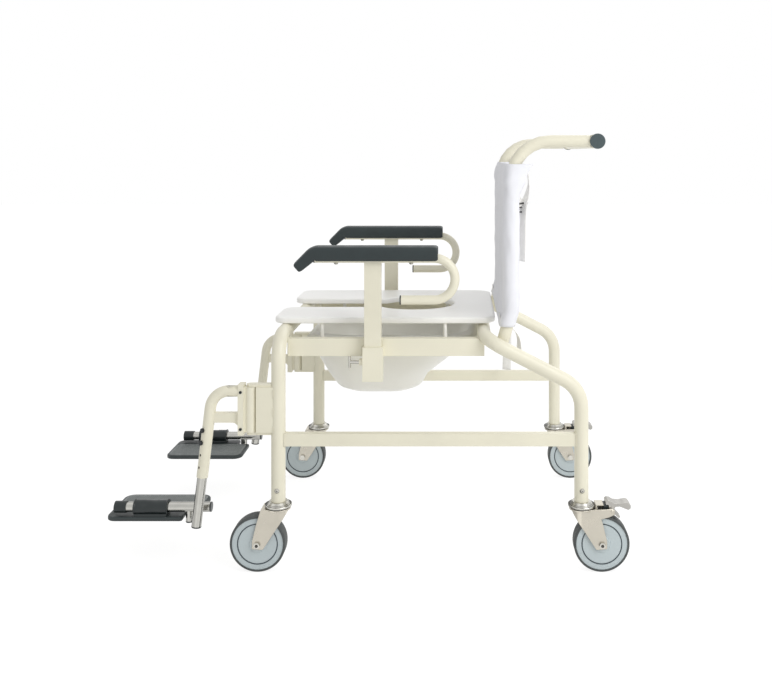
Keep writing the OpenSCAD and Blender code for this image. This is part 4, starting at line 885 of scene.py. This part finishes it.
# Footplates: reach to the outer and inner side of the foot tube, the notch, the tread and the clamp
PLATE_OUT = 0.018
PLATE_IN = 0.121
PLATE_CORNER = 0.022
PLATE_OUTER_CORNER = 0.020
PLATE_SMALL = 0.005
NOTCH_LONG = 0.033
TREAD_EDGE = 0.006
TREAD_IN = 0.115
TREAD_OUT = 0.0235
TREAD_CORNER = 0.016
STUD_REACH = 0.012
STUD_EDGE = 0.007
CLAMP_BACK = 0.063
CLAMP_LONG = 0.075
CLAMP_HALF = 0.01525
CLAMP_PROFILE = (
    (0.0112, -0.0015), (0.0172, -0.0015), (0.0175, -0.0008), (0.0175, 0.0010), (0.0160, 0.0022),
    (0.0160, 0.0240), (0.0155, 0.0248), (0.0155, 0.0500), (0.0160, 0.0508), (0.0160, 0.0728),
    (0.0175, 0.0740), (0.0175, 0.0758), (0.0172, 0.0765), (0.0112, 0.0765), (0.0112, -0.0015))


class CHAIR_OT_footplates(bpy.types.Operator):
    """Make the moulded footplates, their tread and the clamps on the foot tubes"""
    bl_idname = "chair.footplates"
    bl_label = "Footplates"

    def execute(self, context):
        sizes = context.scene.plate_sizes
        for name, side in SIDES:
            body = "footplate_" + name
            plate = piece("footplate_moulding_" + name, self.plate(side, sizes), body, "plate")
            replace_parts(plate, "footplate_" + name)
            piece("footplate_tread_" + name, self.tread(side, sizes), body, "tread")
            clamp = piece("foot_clamp_" + name, self.clamp(side), body, "dark_plastic")
            bevelled(clamp, "Soft edges", 0.0008, 2, 40)
        return {"FINISHED"}

    def plate(self, side, sizes):
        """The plate, with the notch at its rear outer corner."""
        levels = rolled_edge(sizes.edge, PLATE_TOP - PLATE_DEEP, PLATE_TOP - 0.0008, 3, 5, 1.8)
        return loft([[Vector((x, y, z)) for x, y in self.outline(side, -inset)] for inset, z in levels])

    def outline(self, side, grow):
        """The plate's outline, grown by a length."""
        x0, x1 = PLATE_FRONT - grow, PLATE_FRONT + PLATE_LONG + grow
        out, inner = FOOT_Y + PLATE_OUT + grow, FOOT_Y - PLATE_IN - grow
        notch_x, notch_y = x1 - NOTCH_LONG, FOOT_Y - PLATE_OUT + grow
        wide, small, outer = PLATE_CORNER + grow, PLATE_SMALL, PLATE_OUTER_CORNER
        arcs = (
            (x0 + wide, inner + wide, wide, 180, 270), (x1 - wide, inner + wide, wide, 270, 360),
            (x1 - small, notch_y - small, small, 0, 90),
            (notch_x + small, notch_y + small, small, 270, 180),
            (notch_x - small, out - small, small, 0, 90), (x0 + outer, out - outer, outer, 90, 180))
        return [(x, side * y) for turn in arcs for x, y in arc(*turn, 6)]

    def tread(self, side, sizes):
        """The raised field with rows of small studs."""
        x0, x1 = PLATE_FRONT + TREAD_EDGE, PLATE_FRONT + PLATE_LONG - TREAD_EDGE
        y0, y1 = FOOT_Y - TREAD_IN, FOOT_Y - TREAD_OUT
        middle = Vector(((x0 + x1) / 2, side * (y0 + y1) / 2, 0))
        loops = []
        for grow, z in ((0, PLATE_TOP - 0.0012), (0, PLATE_TOP - 0.0003), (-0.0005, PLATE_TOP)):
            outline = box_outline(x1 - x0 + 2 * grow, y1 - y0 + 2 * grow, TREAD_CORNER + grow, 6)
            loops.append([middle + Vector((u, v, z)) for u, v in outline])
        parts = [loft(loops)]
        pitch, radius = sizes.stud_pitch, sizes.stud
        dome = ((radius, -0.0001), (radius * 0.86, 0.0005), (radius * 0.4, 0.0008))
        row, x = 0, x0 + STUD_EDGE
        while x < x1 - TREAD_EDGE:
            y = y0 + STUD_EDGE + (pitch / 2 if row % 2 else 0)
            while y < y1 - TREAD_EDGE:
                corner_x = max(0.0, x0 + TREAD_CORNER - x, x - x1 + TREAD_CORNER)
                corner_y = max(0.0, y0 + TREAD_CORNER - y, y - y1 + TREAD_CORNER)
                if math.hypot(corner_x, corner_y) < STUD_REACH:
                    parts.append(loft(turned(dome, (x, side * y, PLATE_TOP), 2, 6)))
                y += pitch
            x += pitch * 0.866
            row += 1
        return joined(parts)

    def clamp(self, side):
        """Clamp body round the foot tube: rims at both ends, a lower block on the plate."""
        x, y = PLATE_FRONT + CLAMP_BACK, side * FOOT_Y
        body = loft(turned(CLAMP_PROFILE, (x, y, FOOT_Z), 0, 40), True, False, False)
        block = box_outline(CLAMP_LONG, 2 * CLAMP_HALF, 0.002, 3)
        base = [[Vector((x + CLAMP_LONG / 2 + u, y + v, z)) for u, v in block]
                for z in (PLATE_TOP - 0.004, FOOT_Z - 0.0113)]
        return joined([body, loft(base)])


# Wheels: how deep the dark rings, which paint the shade in the grooves, lie below the sides of the hub
GROOVE_DEEP = 0.0029


class CHAIR_OT_wheel_rings(bpy.types.Operator):
    """Make the dark rings that paint the shade in the grooves of the wheel discs"""
    bl_idname = "chair.wheel_rings"
    bl_label = "Wheel rings"

    def execute(self, context):
        sizes = context.scene.wheel_sizes
        for name, x, side in CASTERS:
            low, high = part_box("wheel_" + name)
            middle = (low + high) / 2
            groove = (high.y - low.y) / 2 - GROOVE_DEEP
            parts = []
            for face in (-1, 1):
                profile = [
                    (sizes.ring_radius + out, face * groove + along * 0.6)
                    for out, along in circle(8, sizes.ring, True)]
                parts.append(loft(turned(profile, middle, 1, 64), True, False, False))
            piece("wheel_groove_shade_" + name, joined(parts), "wheel_" + name, "wheel_ring")
        return {"FINISHED"}


# Frame
def smoothing():
    """A modifier's node tree that joins a mesh's loose edges and shades it smooth except at its corners."""
    tree = bpy.data.node_groups.new("Smooth tubes", "GeometryNodeTree")
    for in_out in ("INPUT", "OUTPUT"):
        tree.interface.new_socket("Geometry", in_out=in_out, socket_type="NodeSocketGeometry")
    line = (
        add_node(tree, "NodeGroupInput"),
        add_node(tree, "GeometryNodeRemoveAttribute", Name="custom_normal"),
        add_node(tree, "GeometryNodeMergeByDistance", Distance=0.00002),
        add_node(tree, "GeometryNodeSetShadeSmooth", domain="FACE", Shade_Smooth=True),
        add_node(tree, "GeometryNodeSetShadeSmooth", domain="EDGE"),
        add_node(tree, "NodeGroupOutput"))
    for before, after in zip(line, line[1:]):
        tree.links.new(before.outputs[0], after.inputs[0])
    angle = add_node(tree, "GeometryNodeInputMeshEdgeAngle")
    less = add_node(
        tree, "FunctionNodeCompare", data_type="FLOAT", operation="LESS_THAN", B=math.radians(32))
    tree.links.new(angle.outputs["Unsigned Angle"], less.inputs["A"])
    tree.links.new(less.outputs[0], line[-2].inputs["Shade Smooth"])
    return tree


class CHAIR_OT_frame_finish(bpy.types.Operator):
    """Give every carried-over piece of the frame its finish and smooth shading"""
    bl_idname = "chair.frame_finish"
    bl_label = "Frame finish"
    own = {"push_bar_caps": "bar_cap", "brake_pedal_left": "pedal", "brake_pedal_right": "pedal"}
    rounded = {"foot_caps_left": 0.0045, "foot_caps_right": 0.0045, "push_bar_caps": 0.0014}

    def execute(self, context):
        FINISHES.update(make_finishes(context.scene.chair_colours))
        slots = {part["node"]: part["material_slot"] for part in frame["record"]["subparts"]}
        tree = smoothing()
        for name, made in frame["nodes"].items():
            finish = FINISHES[self.own.get(name, slots[name])]
            if not made.material_slots:
                made.data.materials.append(finish)
            for place in made.material_slots:
                place.material = finish
            made.modifiers.new("Smooth tubes", "NODES").node_group = tree
            if name in self.rounded:
                bevelled(made, "Rounded ends", self.rounded[name], 4, 60)
        return {"FINISHED"}


# Welds: how far seams stand off a tube, a bead's ripples, then the places and heights of short beads
SEAM_OUT = 0.0005
BAR_SEAM_OUT = 0.0004
RIPPLE = 0.0013
UPPER_RAIL_END = (FRONT_X + 0.0166, 0.251, 0.494)
UPPER_RAIL_WIDE = 0.020
UPPER_RAIL_HIGH = 0.040
EAR_HEIGHTS = (0.3135, 0.3545, 0.3955)
EAR_X = FRONT_X - 0.0102
EAR_OUT = 0.0131
SOCKET_Y = 0.2616
SOCKET_OUT = 0.0234
SOCKET_BEAD = (0.477, 0.497)
UPRIGHT_FOOT_X = 0.3094
UPRIGHT_FOOT_Y = 0.2722
UPRIGHT_FOOT_BEAD = ((0.006, 0.5035), (0.008, 0.5155))


def bead(line, radius):
    """A weld bead along a line: a round strip with ripples, sunk half into the metal."""
    line = [Vector(point) for point in line]
    path = [line[0]]
    for start, end in zip(line, line[1:]):
        count = max(1, round((end - start).length / RIPPLE))
        path += [start.lerp(end, step / count) for step in range(1, count + 1)]
    rings = swept(path, circle(8, radius), Vector((0.3, 0.5, 0.81)))
    for index, ring in enumerate(rings):
        swell = (1.0 if index % 2 else 0.84) * (1 + 0.12 * noise.noise(path[index] * 300))
        if index in (0, len(rings) - 1):
            swell = 0.3
        for place, point in enumerate(ring):
            ring[place] = path[index] + (point - path[index]) * swell
    return loft(rings)


class CHAIR_OT_welds(bpy.types.Operator):
    """Make the beads of weld where the frame's tubes meet"""
    bl_idname = "chair.welds"
    bl_label = "Welds"

    def execute(self, context):
        size = context.scene.weld_sizes
        low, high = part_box("arm_sockets")
        socket_x = (low.x + high.x) / 2
        beads = []
        for name, side in SIDES:
            for x, outward in ((FRONT_X, 1), (REAR_X, -1)):
                beads.append(bead(self.rail_seam(x, side * SIDE_Y, outward), size.rail))
            ring = []
            for across, rise in circle(24, UPRIGHT_R, True):
                ring.append((
                    BAR_X - math.sqrt(LEG_R ** 2 - rise ** 2) - BAR_SEAM_OUT,
                    side * UPRIGHT_Y + across, BAR_Z + rise))
            beads.append(bead(ring, size.bar))
            x, y, z = UPPER_RAIL_END
            outline = box_outline(UPPER_RAIL_WIDE, UPPER_RAIL_HIGH, 0.003, 3)
            beads.append(bead([(x, side * y + u, z + v) for u, v in outline], size.rail))
            for edge in (-1, 1):
                y = side * SIDE_Y + edge * EAR_OUT
                stitches = [((EAR_X, y, z - 0.007), (EAR_X, y, z + 0.013)) for z in EAR_HEIGHTS]
                x, y = socket_x + edge * SOCKET_OUT, side * SOCKET_Y
                stitches.append([(x, y, z) for z in SOCKET_BEAD])
                x, y = UPRIGHT_FOOT_X, side * UPRIGHT_FOOT_Y
                stitches.append([(x + edge * out, y, z) for out, z in UPRIGHT_FOOT_BEAD])
                beads += [bead(stitch, size.stitch) for stitch in stitches]
        piece("weld_beads", joined(beads), "frame", "weld")
        return {"FINISHED"}

    def rail_seam(self, x, y, outward):
        """The line where a flat rail meets a round leg: its outline, set back by the leg's curve."""
        seam = []
        outline = box_outline(RAIL_WIDE, RAIL_HIGH, 0.002, 3)
        for u, v in outline + outline[:1]:
            seam.append((x + outward * math.sqrt((LEG_R + SEAM_OUT) ** 2 - u * u), y + u, RAIL_Z + v))
        return seam


# Races under the legs: the lip as (radius, height), and the dark rings that paint the shade in the grooves
# as (radius, height, thickness)
RACE_LIP = ((0.0290, 0.1486), (0.0301, 0.1480), (0.0303, 0.1462), (0.0301, 0.1442), (0.0290, 0.1434),
            (0.0286, 0.1460), (0.0290, 0.1486))
RACE_GROOVE_SHADES = ((0.0273, 0.1484, 0.0005), (0.0249, 0.1505, 0.00035))

# Leg screws and axle bolts, whose recesses are dark pieces that paint the shade in them; the socket is
# given as (radius, place along the bolt)
LEG_SCREW_Z = 0.182
LEG_SCREW_Y = SIDE_Y + LEG_R + 0.0037
CROSS_REACH = 0.0025
AXLE_SOCKET = ((0.0040, -0.0004), (0.0040, 0.0002), (0.0035, 0.0003), (0.0031, 0.0001))


class CHAIR_OT_race_rings(bpy.types.Operator):
    """Make the rolled lip of the bearing races under the legs, and dark rings that paint the shade in their
    grooves
    """
    bl_idname = "chair.race_rings"
    bl_label = "Race rings"

    def execute(self, context):
        lips, grooves = [], []
        for name, x, side in CASTERS:
            centre = (x, side * SIDE_Y, 0)
            lips.append(loft(turned(RACE_LIP, centre, 2, 64), True, False, False))
            for radius, z, thick in RACE_GROOVE_SHADES:
                profile = [(radius + u, z + v) for u, v in circle(8, thick, True)]
                grooves.append(loft(turned(profile, centre, 2, 64), True, False, False))
        piece("race_lips", joined(lips), "frame", "zinc")
        piece("race_groove_shades", joined(grooves), "frame", "recess")
        return {"FINISHED"}


class CHAIR_OT_screw_recesses(bpy.types.Operator):
    """Make dark bars and discs that paint the shade in the cross recesses of the leg screws and the sockets
    of the axle bolts
    """
    bl_idname = "chair.screw_recesses"
    bl_label = "Screw recesses"

    def execute(self, context):
        parts = []
        for name, x, side in CASTERS:
            middle = Vector((x, side * LEG_SCREW_Y, LEG_SCREW_Z))
            for turn in (math.radians(20), math.radians(110)):
                reach = Vector((math.cos(turn), 0, math.sin(turn))) * CROSS_REACH
                line = (middle - reach, middle + reach)
                parts.append(loft(swept(line, box_outline(0.0005, 0.0009, 0.0001, 1))))
        piece("leg_screw_recess_shades", joined(parts), "frame", "recess")
        for name, x, side in CASTERS:
            low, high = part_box("axle_" + name)
            middle = (low + high) / 2
            middle.y = high.y if side == FAR else low.y
            profile = [(radius, side * rise) for radius, rise in AXLE_SOCKET]
            piece("axle_socket_" + name, loft(turned(profile, middle, 1, 6)), "caster_" + name,
                  "recess", smooth=False)
        return {"FINISHED"}


# Studio: the camera stands where the photograph was taken, each lamp as (name, place, size)
CAMERA_PLACE = (0.212, -2.306, 0.938)
CAMERA_SHIFT = (-0.09585, -0.25453)
LAMPS = (("Key", (2.1, -2.1, 2.3), 1.8), ("Fill", (1.4, 1.8, 2.6), 2.4))
LAMP_AIM = Vector((0.05, 0, 0.45))
FLOOR_REACH = 14.0


class CHAIR_OT_studio(bpy.types.Operator):
    """Set the camera, the lamps, the pale floor and the white background"""
    bl_idname = "chair.studio"
    bl_label = "Studio"

    def execute(self, context):
        scene = context.scene
        studio = scene.studio_settings
        scene.view_settings.view_transform = "Standard"
        data = bpy.data.cameras.new("Camera")
        data.lens = studio.lens
        data.sensor_width = 36.0
        data.shift_x, data.shift_y = CAMERA_SHIFT
        data.clip_start, data.clip_end = 0.05, 60.0
        camera = bpy.data.objects.new("Camera", data)
        camera.location = CAMERA_PLACE
        camera.rotation_euler = (math.radians(90), 0, 0)
        scene.collection.objects.link(camera)
        scene.camera = camera
        for (name, place, size), power in zip(LAMPS, (studio.key, studio.fill)):
            lamp = bpy.data.lights.new(name, "AREA")
            lamp.energy = power
            lamp.size = size
            made = bpy.data.objects.new(name, lamp)
            made.location = place
            made.rotation_mode = "QUATERNION"
            made.rotation_quaternion = (LAMP_AIM - Vector(place)).to_track_quat("-Z", "Y")
            scene.collection.objects.link(made)
        self.world(scene, studio.sky)
        self.floor(scene)
        return {"FINISHED"}

    def world(self, scene, sky):
        """White behind the chair and in its reflections, and an even light on it."""
        scene.world = bpy.data.worlds.new("Studio")
        scene.world.use_nodes = True
        tree = scene.world.node_tree
        tree.nodes.clear()
        seen = add_node(tree, "ShaderNodeBackground", Color=(1, 1, 1, 1), Strength=1.0)
        lit = add_node(tree, "ShaderNodeBackground", Color=(1.0, 0.995, 0.985, 1), Strength=sky)
        white = ray_is(tree, "Is Camera Ray", "Is Glossy Ray", "Is Transmission Ray")
        mixed_shaders(tree, white, lit.outputs[0], seen.outputs[0], add_node(tree, "ShaderNodeOutputWorld"))

    def floor(self, scene):
        """A wide pale floor that keeps the chair's soft shadow."""
        mesh = bpy.data.meshes.new("Floor")
        corners = ((-1, -1), (1, -1), (1, 1), (-1, 1))
        mesh.from_pydata([(x * FLOOR_REACH, y * FLOOR_REACH, 0) for x, y in corners], [], [(0, 1, 2, 3)])
        floor = bpy.data.objects.new("Floor", mesh)
        floor.location = (0, 0, -0.0004)
        scene.collection.objects.link(floor)
        made = Finish("Pale floor")
        made.shaded((0.90, 0.90, 0.89), 0.01, 2.0)
        made.rough(0.6, 0.7)
        glow = made.add("ShaderNodeEmission", Color=(1, 1, 1, 1), Strength=1.2)
        scale = made.add("ShaderNodeMath", operation="MULTIPLY")
        scale.inputs[1].default_value = 0.72
        made.link(ray_is(made.tree, "Is Camera Ray", "Is Glossy Ray"), scale.inputs[0])
        mixed_shaders(made.tree, scale.outputs[0], made.shader.outputs[0], glow.outputs[0], made.output)
        mesh.materials.append(made.material)


STEPS = (
    CHAIR_OT_frame_finish, CHAIR_OT_back_cover, CHAIR_OT_straps, CHAIR_OT_seat_board, CHAIR_OT_commode_pan,
    CHAIR_OT_arm_pads, CHAIR_OT_footplates, CHAIR_OT_wheel_rings, CHAIR_OT_welds, CHAIR_OT_race_rings,
    CHAIR_OT_screw_recesses, CHAIR_OT_studio)


class CHAIR_PT_parts(bpy.types.Panel):
    """The chair's pieces and their sizes"""
    bl_idname = "CHAIR_PT_parts"
    bl_label = "Shower Chair"
    bl_space_type = "VIEW_3D"
    bl_region_type = "UI"
    bl_category = "Shower Chair"

    def draw(self, context):
        for key, group in GROUPS.items():
            box = self.layout.box()
            box.label(text=key.replace("_", " ").capitalize())
            for name in group.__annotations__:
                box.prop(getattr(context.scene, key), name)
        for step in STEPS:
            self.layout.operator(step.bl_idname)


def register():
    for key, group in GROUPS.items():
        bpy.utils.register_class(group)
        setattr(bpy.types.Scene, key, bpy.props.PointerProperty(type=group))
    for step in STEPS:
        bpy.utils.register_class(step)
    bpy.utils.register_class(CHAIR_PT_parts)


def unregister():
    bpy.utils.unregister_class(CHAIR_PT_parts)
    for step in reversed(STEPS):
        bpy.utils.unregister_class(step)
    for key, group in reversed(list(GROUPS.items())):
        delattr(bpy.types.Scene, key)
        bpy.utils.unregister_class(group)


def main():
    register()
    for step in STEPS:
        area, name = step.bl_idname.split(".")
        getattr(getattr(bpy.ops, area), name)()


if __name__ == "__main__":
    main()
